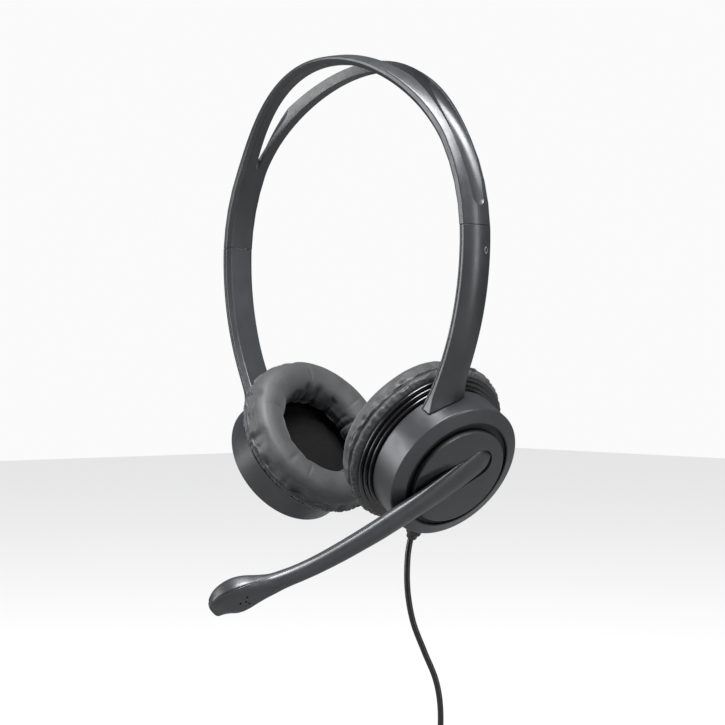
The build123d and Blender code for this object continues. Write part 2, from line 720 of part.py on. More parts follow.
def build_boom():
    """Hub disc, boom shells and microphone, all turning about the left cup's axis."""
    stations = [station[0] for station in BOOM_STATIONS]
    hollow = boom_solid([station for station in stations if 30 < station < 100], BOOM_WALL)
    body = boom_root_end(boom_solid(stations)) - hollow
    for bore in wire_bores():
        body = body - bore
    outer = body & outer_region()
    inner = body - outer_region()
    for hole in sound_holes():
        outer = outer - hole
    hub = domed_disc(DISC_RADIUS, 0.9) + ring(0, HUB_RADIUS, -4.6, 0.9)
    hub = hub - ring(0, HUB_BORE, -5, 2) - boom_pocket(POCKET_GAP)
    groove = ring(HUB_RADIUS - 0.7, HUB_RADIUS + 1, -4.2, -3.4)
    save(in_cup(hub - groove), "hub_disc")
    save(in_cup(ring(HUB_RADIUS - 0.7, 8.2, -4.2, -3.4)), "hub_clip")
    save(in_cup(ring(HUB_RADIUS + 0.3, 9.0, -3.35, -2.65)), "hub_washer")
    save(in_cup(inner), "boom_inner_shell")
    save(in_cup(outer), "boom_outer_shell")
    save(in_cup(mic_disc(MIC_RADIUS, -0.6, -0.6 + MIC_THICKNESS)), "mic_capsule")
    seal = mic_disc(MIC_RADIUS - 0.7, -0.6 + MIC_THICKNESS, 2.1) - mic_disc(1.5, 1.0, 3.0)
    save(in_cup(seal), "mic_seal")


# ------------------------------------------------------------------ cable
def cable_ends():
    """Straight stretch of the cable inside the strain relief."""
    inside = CUP.from_local_coords(Vector(0, -24.8, CABLE_EXIT_Z))
    outside = CUP.from_local_coords(Vector(0, RELIEF_END - 0.5, CABLE_EXIT_Z))
    return inside, outside


def cable_path():
    """Centreline of the hanging cable from the strain relief to the plug."""
    inside, outside = cable_ends()
    spots = [tuple(outside), *CABLE_HANG, PLUG_TOP]
    return Spline(*spots, tangents=[tuple((outside - inside).normalized()), (0, 0, -1)])


def build_cable():
    """Strain relief, cable and plug."""
    path = cable_path()
    inside, outside = cable_ends()
    straight = rod(tuple(inside), tuple(outside), CABLE_RADIUS)
    cable = sweep(Plane(origin=path @ 0, z_dir=path % 0) * Circle(CABLE_RADIUS), path) + straight
    place = CUP.location * Plane(origin=(0, 0, CABLE_EXIT_Z), x_dir=(1, 0, 0), z_dir=(0, -1, 0)).location
    relief = turned(
        (CABLE_RADIUS, 25.2), (2.6, 25.2), (2.6, 28.3), (3.3, 28.3), (3.3, 30.4),
        (2.5, 30.6), (2.5, 31.4), (3.0, 31.5), (2.9, 33.3), (2.3, 33.5), (2.0, -RELIEF_END), (CABLE_RADIUS, -RELIEF_END),
    )
    relief = place * relief
    x, y, z = PLUG_TOP
    body_low = z - PLUG_BODY_LENGTH
    body = Pos(x, y, 0) * turned(
        (0, z), (2.0, z), (2.3, z - 3), (PLUG_BODY_RADIUS, z - 5), (PLUG_BODY_RADIUS, body_low), (0, body_low),
    )
    pin = Pos(x, y, 0) * turned(
        (0, body_low), (2.6, body_low), (2.6, body_low - 1), (PLUG_PIN_RADIUS, body_low - 1),
        (PLUG_PIN_RADIUS, body_low - PLUG_PIN_LENGTH + 2), (1.3, body_low - PLUG_PIN_LENGTH + 1.4),
        (PLUG_PIN_RADIUS, body_low - PLUG_PIN_LENGTH + 0.8), (0.6, body_low - PLUG_PIN_LENGTH), (0, body_low - PLUG_PIN_LENGTH),
    )
    save(cable, "cable")
    save(relief, "strain_relief")
    save(body, "plug_body")
    save(pin, "plug_pin")


os.makedirs("parts", exist_ok=True)
build_headband()
build_strip()
build_arms()
build_springs()
build_cups()
build_boom()
build_cable()
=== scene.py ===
import json
import math
import random
import bpy
import bmesh
from mathutils import Matrix, Vector


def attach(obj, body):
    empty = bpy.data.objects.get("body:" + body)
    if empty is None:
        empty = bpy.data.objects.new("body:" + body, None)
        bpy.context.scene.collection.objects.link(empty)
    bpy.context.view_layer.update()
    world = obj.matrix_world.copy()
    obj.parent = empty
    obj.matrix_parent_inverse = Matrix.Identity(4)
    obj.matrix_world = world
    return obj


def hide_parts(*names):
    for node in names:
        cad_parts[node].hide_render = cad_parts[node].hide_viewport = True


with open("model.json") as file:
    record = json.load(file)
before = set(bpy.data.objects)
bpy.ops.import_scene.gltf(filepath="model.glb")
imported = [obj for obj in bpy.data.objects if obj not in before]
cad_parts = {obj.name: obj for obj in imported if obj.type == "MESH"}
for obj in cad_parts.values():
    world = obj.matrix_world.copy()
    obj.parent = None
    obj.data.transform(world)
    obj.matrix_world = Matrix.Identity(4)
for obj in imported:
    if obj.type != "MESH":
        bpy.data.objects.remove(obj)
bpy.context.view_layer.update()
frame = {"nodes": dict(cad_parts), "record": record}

MM = 0.001
SIDES = {"left": 1.0, "right": -1.0}

# ------------------------------------------------------------------ driving sizes, in millimetres
BAND_RADIUS = 75.6
CROWN_THICKNESS = 4.8
SEAM_THICKNESS = 6.0
BAND_END_HALF = 6.7
SPREAD = 8.5
SLOT_TIP_ANGLE = 50.0
PLAIN_ANGLE = 60.0
FACE_CROWN = 2.2
EDGE_BEVEL = 1.5
SPRING_Z = CROWN_THICKNESS - BAND_RADIUS
SEAM_Z = SPRING_Z + 4.6
SEAM_GAP = 0.2
SCOOP_RADIUS = 4.4

ARM_RADIUS = 112.0
ARM_THICKNESS = 6.0
SHELL_SPLIT = 3.7
SPLIT_GAP = 0.16
ARM_END_ANGLE = 31.2
STRIP_X = 71.0

CUP_CENTRE = (50.8, 10.9, -156.4)
CUP_TILT = 31.2
CUP_YAW = -2.75
DRUM_RADIUS = 28.1
DRUM_DEPTH = 12.5
RIM_INNER = 22.9
DISC_RADIUS = 19.85
HUB_RADIUS = 6.0
SCREW_CIRCLE = 23.7

BOOM_DROP = 34.8
BOOM_OFFSET = 1.4
BOOM_ROOT = -8.8
BOOM_ROOT_HALF = 5.8
BOOM_SPLIT_START = 34.0
BOOM_END = 102.0
ROOT_FLOOR = 1.4
# station along the boom, rise of its centreline, half width across, half thickness, corner exponent
BOOM_STATIONS = [
    (-17, 0, 5.8, 1.9, 2.0), (-8.8, 0, 5.8, 1.9, 2.0), (0, 0, 5.8, 2.3, 2.0), (9, 0, 5.5, 2.65, 2.0),
    (18, 0, 5.0, 2.85, 2.0), (27, -0.1, 4.8, 3.1, 2.0), (36, -0.4, 4.6, 3.2, 2.0), (45, -0.5, 4.25, 3.2, 2.0),
    (54, -0.6, 4.0, 3.1, 2.0), (63, -0.5, 3.7, 3.0, 2.0), (70, -0.1, 3.6, 2.95, 2.0),
    (76, 0.5, 3.65, 3.0, 2.1), (81, 0.85, 4.3, 3.1, 2.3), (85.5, 1.6, 5.35, 3.4, 2.8),
    (90, 2.3, 6.6, 3.8, 3.5), (94, 2.55, 6.85, 3.85, 4.0), (98, 1.9, 5.9, 3.3, 4.0),
    (102, 0.05, 3.65, 2.1, 3.4),
]
# station and height of the parting line above the centreline
BOOM_PARTING = [
    (34, 0.0), (50, 0.0), (66, 0.0), (78, 0.1), (84, 1.0),
    (88, 2.0), (92, 2.75), (96, 2.5), (100, 1.5), (106, 0.3),
]
MIC_STATION = 92.0
MIC_LIFT = 1.75
HOLE_RADIUS = 0.42
PARTING_GAP = 0.06

CABLE_RADIUS = 1.15
CABLE_EXIT_Z = -8.0
RELIEF_END = 35.5
CABLE_HANG = [
    (24.9, 10.9, -191.0), (24.9, 11.0, -203.0), (26.3, 12.6, -215.0),
    (29.1, 16.0, -226.5), (31.9, 19.5, -237.5), (33.0, 20.9, -248.0),
]
PLUG_TOP = (32.9, 20.9, -264.0)
FLOOR_Z = -299.5
FLOOR_HALF_SPAN = 2500.0

# ------------------------------------------------------------------ camera, angles in degrees
CAMERA_TARGET = (10.44, 0.0, -115.26)
CAMERA_DISTANCE = 605.27
CAMERA_AZIMUTH = 49.43
CAMERA_ELEVATION = -0.54
CAMERA_ROLL = 0.25
CAMERA_LENS = 77.43

# furthest that the cloth solver may move the cushion's cover, in metres
CUSHION_PULL_LIMIT = 0.0011


# ------------------------------------------------------------------ frames and curves
def cup_matrix():
    """Left cup's frame: x back along the rim, y up along the rim, z outwards."""
    tilt = math.radians(CUP_TILT)
    yaw = math.radians(CUP_YAW)
    x_axis = Vector((-math.sin(yaw), math.cos(yaw), 0))
    z_axis = Vector((math.cos(tilt) * math.cos(yaw), math.cos(tilt) * math.sin(yaw), -math.sin(tilt)))
    y_axis = z_axis.cross(x_axis)
    matrix = Matrix((x_axis, y_axis, z_axis)).transposed().to_4x4()
    matrix.translation = Vector(CUP_CENTRE)
    return matrix


CUP = cup_matrix()


def in_cup(points):
    """Points of the cup's frame in the headset's frame."""
    return [CUP @ Vector(point) for point in points]


def smooth_table(table, at):
    """Smooth curve through the rows of a table; the first column is the position along it."""
    last = len(table) - 1
    if at <= table[0][0]:
        return list(table[0][1:])
    if at >= table[last][0]:
        return list(table[last][1:])
    index = max(i for i in range(last) if table[i][0] <= at)
    before, start, end, after = (table[max(0, min(last, index + k))] for k in (-1, 0, 1, 2))
    width = end[0] - start[0]
    share = (at - start[0]) / width
    values = []
    for column in range(1, len(start)):
        slope_in = (end[column] - before[column]) / (end[0] - before[0])
        slope_out = (after[column] - start[column]) / (after[0] - start[0])
        values.append(
            (2 * share ** 3 - 3 * share ** 2 + 1) * start[column]
            + (share ** 3 - 2 * share ** 2 + share) * slope_in * width
            + (3 * share ** 2 - 2 * share ** 3) * end[column]
            + (share ** 3 - share ** 2) * slope_out * width
        )
    return values


def soften(corners, steps=4):
    """Closed outline with its corners rounded; each corner is (across, up, radius)."""
    outline = []
    count = len(corners)
    for index, (x, y, radius) in enumerate(corners):
        here = Vector((x, y))
        if radius <= 0:
            outline.append((x, y))
            continue
        before = Vector(corners[index - 1][:2]) - here
        after = Vector(corners[(index + 1) % count][:2]) - here
        reach = min(radius, 0.45 * before.length, 0.45 * after.length)
        start = here + before.normalized() * reach
        end = here + after.normalized() * reach
        for step in range(steps + 1):
            share = step / steps
            spot = start * (1 - share) ** 2 + here * 2 * share * (1 - share) + end * share ** 2
            outline.append((spot.x, spot.y))
    return outline


# ------------------------------------------------------------------ meshes
def skin(rings, capped=True, looped=False):
    """Closed surface through rings that each have the same number of points."""
    count = len(rings[0])
    points = [point for ring in rings for point in ring]
    faces = []
    spans = len(rings) if looped else len(rings) - 1
    for row in range(spans):
        near = row * count
        far = ((row + 1) % len(rings)) * count
        for index in range(count):
            after = (index + 1) % count
            faces.append((near + index, near + after, far + after, far + index))
    if capped and not looped:
        faces.append(tuple(range(count - 1, -1, -1)))
        faces.append(tuple(range(len(points) - count, len(points))))
    return points, faces


def lathe(corners, steps=192, radius=0.2, soft=True):
    """Closed outline of (radius, height) corners turned about the local z axis."""
    outline = soften([(x, y, radius if x > 0 else 0) for x, y in corners], 3) if soft else corners
    rings = []
    for step in range(steps):
        turn = 2 * math.pi * step / steps
        rings.append([(x * math.cos(turn), x * math.sin(turn), y) for x, y in outline])
    return skin(rings, capped=False, looped=True)


def merged(*shapes):
    """Several point and face lists as one."""
    points = []
    faces = []
    for more_points, more_faces in shapes:
        start = len(points)
        points += list(more_points)
        faces += [tuple(start + index for index in face) for face in more_faces]
    return points, faces


def brick(x_range, y_range, z_range):
    """Plain block, used as a cutter or a hidden post."""
    points = [(x, y, z) for x in x_range for y in y_range for z in z_range]
    faces = [(0, 1, 3, 2), (4, 6, 7, 5), (0, 4, 5, 1), (2, 3, 7, 6), (0, 2, 6, 4), (1, 5, 7, 3)]
    return points, faces


def rod(start, end, radius, steps=32):
    """Round rod between two points."""
    start = Vector(start)
    axis = Vector(end) - start
    across = axis.orthogonal().normalized()
    upright = axis.cross(across).normalized()
    rings = []
    for middle in (start, start + axis):
        ring = []
        for step in range(steps):
            turn = 2 * math.pi * step / steps
            ring.append(middle + across * radius * math.cos(turn) + upright * radius * math.sin(turn))
        rings.append(ring)
    return skin(rings)


def placed(shape):
    """A shape of the cup's frame in the headset's frame."""
    points, faces = shape
    return in_cup(points), faces


def make(name, shape, material=None, side=1.0):
    """Mesh object from points in millimetres; side -1 mirrors it to the right."""
    points, faces = shape
    data = bpy.data.meshes.new(name)
    data.from_pydata([(side * p[0] * MM, p[1] * MM, p[2] * MM) for p in points], [], faces)
    work = bmesh.new()
    work.from_mesh(data)
    bmesh.ops.remove_doubles(work, verts=work.verts, dist=2e-6)
    bmesh.ops.dissolve_degenerate(work, edges=work.edges, dist=1e-7)
    bmesh.ops.recalc_face_normals(work, faces=work.faces)
    work.to_mesh(data)
    work.free()
    obj = bpy.data.objects.new(name, data)
    bpy.context.scene.collection.objects.link(obj)
    if material:
        data.materials.append(material)
    return obj


def apply_modifiers(obj):
    """Bake an object's modifiers into its mesh."""
    graph = bpy.context.evaluated_depsgraph_get()
    baked = bpy.data.meshes.new_from_object(obj.evaluated_get(graph), depsgraph=graph)
    obj.modifiers.clear()
    old = obj.data
    obj.data = baked
    baked.name = old.name
    bpy.data.meshes.remove(old)


def carve(obj, shapes, side=1.0, operation="DIFFERENCE"):
    """Cut shapes out of an object, or keep only what lies inside them."""
    cutters = []
    for shape in shapes:
        cutter = make("cutter", shape, side=side)
        modifier = obj.modifiers.new("carve", "BOOLEAN")
        modifier.operation = operation
        modifier.solver = "EXACT"
        modifier.object = cutter
        cutters.append(cutter)
    apply_modifiers(obj)
    for cutter in cutters:
        data = cutter.data
        bpy.data.objects.remove(cutter)
        bpy.data.meshes.remove(data)


def finish_mesh(obj, sharp=32):
    """Smooth shading with crisp edges where faces meet at more than this angle."""
    obj.data.polygons.foreach_set("use_smooth", [True] * len(obj.data.polygons))
    obj.data.set_sharp_from_angle(angle=math.radians(sharp))
    modifier = obj.modifiers.new("even shading", "WEIGHTED_NORMAL")
    modifier.keep_sharp = True
    apply_modifiers(obj)


def settle(obj, body, slot_name, *nodes):
    """The piece rides a body and stands for CAD nodes, which it hides; slot_name is not used."""
    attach(obj, body)
    if nodes:
        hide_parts(*nodes)


# ------------------------------------------------------------------ materials
class Shader:
    """Small helper that builds a node tree step by step."""

    def __init__(self, name):
        self.material = bpy.data.materials.new(name)
        self.material.use_nodes = True
        self.tree = self.material.node_tree
        self.tree.nodes.clear()
        self.output = self.add("ShaderNodeOutputMaterial")
        self.base = self.add("ShaderNodeBsdfPrincipled")
        self.link(self.base, "BSDF", self.output, "Surface")
        self.place = self.add("ShaderNodeTexCoord")

    def add(self, kind, **values):
        node = self.tree.nodes.new(kind)
        for key, value in values.items():
            if key in node.inputs:
                node.inputs[key].default_value = value
            else:
                setattr(node, key, value)
        return node

    def link(self, source, output, target, entry):
        self.tree.links.new(source.outputs[output], target.inputs[entry])

    def noise(self, scale, detail=4.0, roughness=0.55):
        node = self.add("ShaderNodeTexNoise")
        node.inputs["Scale"].default_value = scale
        node.inputs["Detail"].default_value = detail
        node.inputs["Roughness"].default_value = roughness
        self.link(self.place, "Object", node, "Vector")
        return node

    def ramp(self, source, output, stops):
        node = self.add("ShaderNodeValToRGB")
        while len(node.color_ramp.elements) < len(stops):
            node.color_ramp.elements.new(0.5)
        for element, (position, colour) in zip(node.color_ramp.elements, stops):
            element.position = position
            element.color = (*colour, 1.0)
        self.link(source, output, node, "Fac")
        return node

    def grain(self, source, output, depth, strength=1.0, under=None):
        """Bump from a height pattern, laid over another normal."""
        node = self.add("ShaderNodeBump")
        node.inputs["Distance"].default_value = depth
        node.inputs["Strength"].default_value = strength
        self.link(source, output, node, "Height")
        if under:
            self.link(under, "Normal", node, "Normal")
        return node


def scaled(colour, factor):
    """A colour made lighter or darker."""
    return tuple(min(1.0, channel * factor) for channel in colour)


def plastic(name, colour, roughness, metallic=0.0, grain_depth=0.00001, spread=0.12, edge=0.0002):
    """Moulded plastic with a fine grain, uneven gloss and softened edges."""
    shader = Shader(name)
    cloudy = shader.noise(70.0, 3.0)
    tint = shader.ramp(cloudy, "Fac", [(0.3, scaled(colour, 1 - spread)), (0.7, scaled(colour, 1 + spread))])
    shader.link(tint, "Color", shader.base, "Base Color")
    gloss = shader.noise(240.0, 4.0)
    rough = shader.ramp(gloss, "Fac", [(0.3, (roughness - 0.04,) * 3), (0.7, (roughness + 0.05,) * 3)])
    shader.link(rough, "Color", shader.base, "Roughness")
    shader.base.inputs["Metallic"].default_value = metallic
    fine = shader.noise(4200.0, 2.0)
    round_edge = shader.add("ShaderNodeBevel", samples=4)
    round_edge.inputs["Radius"].default_value = edge
    bump = shader.grain(fine, "Fac", grain_depth, 0.5, round_edge)
    shader.link(bump, "Normal", shader.base, "Normal")
    return shader.material


def metal(name, colour, roughness, stretch=(1.0, 1.0, 0.08)):
    """Rolled or drawn metal with fine lines."""
    shader = Shader(name)
    mapping = shader.add("ShaderNodeMapping")
    mapping.inputs["Scale"].default_value = stretch
    shader.link(shader.place, "Object", mapping, "Vector")
    lines = shader.add("ShaderNodeTexNoise")
    lines.inputs["Scale"].default_value = 5200.0
    shader.link(mapping, "Vector", lines, "Vector")
    tint = shader.ramp(lines, "Fac", [(0.3, scaled(colour, 0.86)), (0.7, scaled(colour, 1.08))])
    shader.link(tint, "Color", shader.base, "Base Color")
    rough = shader.ramp(lines, "Fac", [(0.3, (roughness - 0.05,) * 3), (0.7, (roughness + 0.08,) * 3)])
    shader.link(rough, "Color", shader.base, "Roughness")
    shader.base.inputs["Metallic"].default_value = 1.0
    bump = shader.grain(lines, "Fac", 0.00001, 0.4)
    shader.link(bump, "Normal", shader.base, "Normal")
    return shader.material


def leatherette(name, colour):
    """Soft coated cloth with a pebbled grain and fine creases."""
    shader = Shader(name)
    cells = shader.add("ShaderNodeTexVoronoi")
    cells.inputs["Scale"].default_value = 1500.0
    shader.link(shader.place, "Object", cells, "Vector")
    clouds = shader.noise(160.0, 5.0, 0.6)
    tint = shader.ramp(clouds, "Fac", [(0.3, scaled(colour, 0.82)), (0.72, scaled(colour, 1.22))])
    shader.link(tint, "Color", shader.base, "Base Color")
    rough = shader.ramp(clouds, "Fac", [(0.3, (0.54,) * 3), (0.7, (0.64,) * 3)])
    shader.link(rough, "Color", shader.base, "Roughness")
    shader.base.inputs["Sheen Weight"].default_value = 0.12
    shader.base.inputs["Sheen Roughness"].default_value = 0.45
    creases = shader.noise(620.0, 6.0, 0.65)
    first = shader.grain(creases, "Fac", 0.00009, 0.35)
    second = shader.grain(cells, "Distance", 0.00006, 0.5, first)
    shader.link(second, "Normal", shader.base, "Normal")
    return shader.material


def acoustic_cloth(name, colour):
    """Woven or knitted cloth over the driver."""
    shader = Shader(name)
    weave = shader.add("ShaderNodeTexVoronoi")
    weave.inputs["Scale"].default_value = 1900.0
    weave.inputs["Randomness"].default_value = 0.35
    shader.link(shader.place, "Object", weave, "Vector")
    tint = shader.ramp(weave, "Distance", [(0.1, scaled(colour, 2.6)), (0.5, scaled(colour, 0.5))])
    shader.link(tint, "Color", shader.base, "Base Color")
    shader.base.inputs["Roughness"].default_value = 0.85
    shader.base.inputs["Specular IOR Level"].default_value = 0.15
    bump = shader.grain(weave, "Distance", 0.00012, 0.8)
    shader.link(bump, "Normal", shader.base, "Normal")
    return shader.material


def build_materials():
    """One material for each finish, named after the record's slots but for the oval mark's print."""
    return {
        "grey_plastic": plastic("satin charcoal plastic", (0.036, 0.039, 0.042), 0.34, 0.3),
        "pale_print": plastic("pale print", (0.16, 0.165, 0.17), 0.45, 0.1),
        "black_plastic": plastic("black plastic", (0.003, 0.003, 0.0033), 0.6),
        "gloss_black": plastic("glossy black plastic", (0.008, 0.008, 0.009), 0.17, 0.0, 0.000004),
        "steel": metal("rolled steel", (0.55, 0.56, 0.57), 0.3),
        "magnet_steel": metal("nickel plate", (0.62, 0.61, 0.58), 0.22, (1, 1, 1)),
        "copper": metal("copper wire", (0.72, 0.36, 0.18), 0.3),
        "film": plastic("speaker film", (0.45, 0.45, 0.42), 0.25),
        "cloth": acoustic_cloth("acoustic cloth", (0.004, 0.004, 0.0045)),
        "leatherette": leatherette("leatherette", (0.032, 0.034, 0.036)),
        "board": plastic("circuit board", (0.03, 0.16, 0.07), 0.4),
        "cable_sheath": plastic("cable sheath", (0.003, 0.003, 0.0033), 0.36, 0.0, 0.00001),
        "plated": metal("gold plate", (0.83, 0.66, 0.32), 0.2, (1, 1, 1)),
    }


MATERIALS = build_materials()


def dress_cad_nodes():
    """Give every CAD node its slot's procedural material."""
    slots = {part["node"]: part["material_slot"] for part in frame["record"]["subparts"]}
    for node, obj in frame["nodes"].items():
        obj.data.materials.clear()
        obj.data.materials.append(MATERIALS[slots[node]])


# ------------------------------------------------------------------ headband
def rail_share(angle):
    """Runs smoothly from one at the crown to zero where the band becomes plain."""
    return math.cos(math.radians(90 * angle / PLAIN_ANGLE)) ** 1.6 if abs(angle) < PLAIN_ANGLE else 0.0


def slot_half_width(angle):
    """Half width of the slot between the rails."""
    return 0.9 + (SPREAD - 0.4) * max(0.0, 1 - (angle / SLOT_TIP_ANGLE) ** 2) ** 1.3


def bar_outline(half, top, low, arched, bevel):
    """Cross-section of band or arm as (across, up); the top is arched, the bottom has bevelled edges."""
    fall = FACE_CROWN if arched else 0.0
    shares = (-0.8, -0.6, -0.4, -0.2, 0.0, 0.2, 0.4, 0.6, 0.8)
    corners = [(-half, top - fall, 0.55)]
    corners += [(half * share, top - fall * share * share, 0) for share in shares]
    corners += [(half, top - fall, 0.55), (half, low + bevel, 0.3), (half - bevel, low, 0.3)]
    corners += [(bevel - half, low, 0.3), (-half, low + bevel, 0.3)]
    return soften(corners)


def band_ring(angle, end_share=0.0):
    """Ring of points across the band; end_share 1 brings it exactly to the seam's plane."""
    share = rail_share(angle)
    half = BAND_END_HALF + SPREAD * share
    thickness = SEAM_THICKNESS - (SEAM_THICKNESS - CROWN_THICKNESS) * share
    ring = []
    for across, up in bar_outline(half, 0.0, -thickness, True, EDGE_BEVEL):
        radius = BAND_RADIUS + up
        seam = math.degrees(math.acos((SEAM_Z - SPRING_Z) / radius))
        turn = abs(angle) + (seam - abs(angle)) * end_share
        turn = math.copysign(math.radians(turn), angle)
        ring.append((radius * math.sin(turn), across, SPRING_Z + radius * math.cos(turn)))
    return ring


def slot_cutter():
    """Upright lens-shaped prism between the rails, with rounded tips."""
    outline = []
    steps = 60
    for step in range(steps + 1):
        angle = SLOT_TIP_ANGLE * math.sin(math.pi * (step / steps - 0.5))
        outline.append((BAND_RADIUS * math.sin(math.radians(angle)), slot_half_width(angle)))
    tip = BAND_RADIUS * math.sin(math.radians(SLOT_TIP_ANGLE))
    rounding = [(tip + 0.9 * math.sin(math.pi * k / 8), 0.9 * math.cos(math.pi * k / 8)) for k in range(1, 8)]
    outline += rounding
    outline += [(x, -y) for x, y in reversed(outline[:steps + 1])]
    outline += [(-x, -y) for x, y in rounding]
    return skin([[(x, y, z) for x, y in outline] for z in (-60, 20)])


def scoop_cutter(side):
    """Rounded channel in the outer face that runs from near the seam up into the slot."""
    spots = [(79.0, 3.1), (68.0, 1.85), (57.0, 0.9), (45.0, -0.2), (33.0, -1.4)]
    centres = []
    steps = 40
    for step in range(steps + 1):
        angle = 79.0 - 46.0 * step / steps
        lift = smooth_table([(-a, l) for a, l in spots], -angle)[0]
        radius = BAND_RADIUS + lift
        turn = math.radians(angle)
        centres.append(Vector((side * radius * math.sin(turn), 0, SPRING_Z + radius * math.cos(turn))))
    rings = []
    first = (centres[0] - centres[1]).normalized()
    for share in (0.995, 0.97, 0.92, 0.84, 0.72, 0.56, 0.38, 0.18):
        middle = centres[0] + first * SCOOP_RADIUS * share
        rings.append(circle_across(middle, first, SCOOP_RADIUS * math.sqrt(1 - share ** 2)))
    for index, centre in enumerate(centres):
        before = centres[max(0, index - 1)]
        after = centres[min(steps, index + 1)]
        rings.append(circle_across(centre, before - after, SCOOP_RADIUS))
    return skin(rings)


def circle_across(centre, axis, radius, steps=48):
    """Circle of points square to an axis in the plane of the band."""
    axis = axis.normalized()
    sideways = Vector((0, 1, 0))
    upright = axis.cross(sideways).normalized()
    ring = []
    for step in range(steps):
        turn = 2 * math.pi * step / steps
        ring.append(centre + sideways * radius * math.cos(turn) + upright * radius * math.sin(turn))
    return ring


def band_shape():
    """The whole band without slot and channels."""
    rings = [band_ring(-PLAIN_ANGLE - 6.7 * k, 1.0 if k == 4 else 0.0) for k in (4, 3, 2, 1)]
    rings += [band_ring(angle) for angle in range(-60, 61, 1)]
    rings += [band_ring(PLAIN_ANGLE + 6.7 * k, 1.0 if k == 4 else 0.0) for k in (1, 2, 3, 4)]
    return skin(rings)


def flipped(shape):
    """Mirror image of a shape about the middle of the headset."""
    points, faces = shape
    return [(-p[0], p[1], p[2]) for p in points], [tuple(reversed(face)) for face in faces]


def build_band():
    """Band with its slot, channels and the strips' pockets."""
    band = make("headband_shell", band_shape(), MATERIALS["grey_plastic"])
    pocket = brick((STRIP_X - 0.6, STRIP_X + 0.6), (-3.5, 3.5), (SEAM_Z - 5, SEAM_Z + 10))
    carve(band, [slot_cutter(), scoop_cutter(1.0), scoop_cutter(-1.0), pocket, flipped(pocket)])
    finish_mesh(band)
    settle(band, "headband", "grey_plastic", "headband")


# ------------------------------------------------------------------ arms
# length below the springline, half width, how far the outer face steps out, lean to the rear
ARM_STATIONS = [
    (0.0, 6.7, 0.0, 0.0), (25.0, 6.7, 0.0, 0.0), (50.8, 6.8, 0.0, 0.15), (56.7, 7.3, 0.12, 0.6),
    (61.6, 8.1, 0.6, 1.3), (65.2, 9.3, 1.9, 2.2), (67.6, 10.2, 2.6, 2.8), (70.0, 11.2, 3.2, 3.2),
]


def arm_ring(length, outline, at_seam=False):
    """Ring of points across the arm, this far below the springline along its outer face."""
    bent = math.radians(ARM_END_ANGLE) * ARM_RADIUS
    turn = min(length, bent) / ARM_RADIUS
    beyond = max(0.0, length - bent)
    ring = []
    for across, up in outline:
        radius = ARM_RADIUS + up
        angle = math.asin(-(SEAM_Z - SEAM_GAP - SPRING_Z) / radius) if at_seam else turn
        x = BAND_RADIUS - ARM_RADIUS + radius * math.cos(angle) - math.sin(angle) * beyond
        z = SPRING_Z - radius * math.sin(angle) - math.cos(angle) * beyond
        ring.append((x, across, z))
    return ring


def arm_shape(inner):
    """One shell of the arm, before the cup's clearance is cut."""
    rings = []
    lengths = [-4.0 + 1.2 * step for step in range(63)]
    for index, length in enumerate(lengths):
        half, flare, lean = smooth_table(ARM_STATIONS, length)
        if inner:
            top = -SHELL_SPLIT - SPLIT_GAP / 2
            outline = bar_outline(half - 0.05, top, -ARM_THICKNESS, False, EDGE_BEVEL)
        else:
            outline = bar_outline(half, flare, -SHELL_SPLIT + SPLIT_GAP / 2, True, 0.12)
        outline = [(across + lean, up) for across, up in outline]
        rings.append(arm_ring(length, outline, index == 0))
    return skin(rings)


def clearance_cutter():
    """Space that the drum and the collar need under the arm's foot."""
    near = DRUM_RADIUS + 0.45
    far = 33.2
    corners = [(0, 8), (near, 8), (near, -12.2), (far, -12.9), (far, -24), (0, -24)]
    return placed(lathe(corners, 256, soft=False))


def lug_shape():
    """Tongue of the arm that reaches through the drum's wall to the hinge pin."""
    block = brick((-13.4, -8.4), (21.3, 29.6), (-10.7, -6.7))
    eye = rod((-13.4, 21.3, -8.7), (-8.4, 21.3, -8.7), 2.0)
    return placed(merged(block, eye))


def side_mark(side_name, side):
    """Plain oval mark, slightly raised, on the arm's outer face."""
    rings = []
    length = -4.4 + 9.0
    for up, shrink in ((-0.25, 1.0), (0.05, 1.0), (0.08, 0.94), (0.08, 0.72), (0.04, 0.66), (-0.25, 0.66)):
        ring = []
        for step in range(48):
            turn = 2 * math.pi * step / 48
            across = 2.6 + 0.95 * shrink * math.cos(turn)
            along = length + 1.35 * shrink * math.sin(turn)
            face = -FACE_CROWN * (across / 6.7) ** 2
            ring += arm_ring(along, [(across, face + up)])
        rings.append(ring)
    ring = skin(rings, capped=False, looped=True)
    mark = make(f"{side_name}_oval_mark", ring, MATERIALS["pale_print"], side)
    finish_mesh(mark)
    settle(mark, f"{side_name}_arm", "grey_plastic")


def build_arms():
    """Both shells of each arm, cut for the strip and the cup."""
    strip = brick((STRIP_X - 0.68, STRIP_X + 0.68), (-3.58, 3.58), (SEAM_Z - 28.5, SEAM_Z + 10))
    for side_name, side in SIDES.items():
        outer = make(f"{side_name}_arm_outer", arm_shape(False), MATERIALS["grey_plastic"], side)
        carve(outer, [clearance_cutter(), strip], side)
        lug = make("lug", lug_shape(), MATERIALS["grey_plastic"], side)
        join(outer, lug)
        finish_mesh(outer)
        settle(outer, f"{side_name}_arm", "grey_plastic", f"{side_name}_arm_outer_shell")
        inner = make(f"{side_name}_arm_inner", arm_shape(True), MATERIALS["grey_plastic"], side)
        carve(inner, [clearance_cutter(), strip], side)
        finish_mesh(inner)
        settle(inner, f"{side_name}_arm", "grey_plastic", f"{side_name}_arm_inner_shell")
        side_mark(side_name, side)


def join(obj, other):
    """Adds another object's mesh to this one as a separate island."""
    work = bmesh.new()
    work.from_mesh(obj.data)
    work.from_mesh(other.data)
    work.to_mesh(obj.data)
    work.free()
    data = other.data
    bpy.data.objects.remove(other)
    bpy.data.meshes.remove(data)


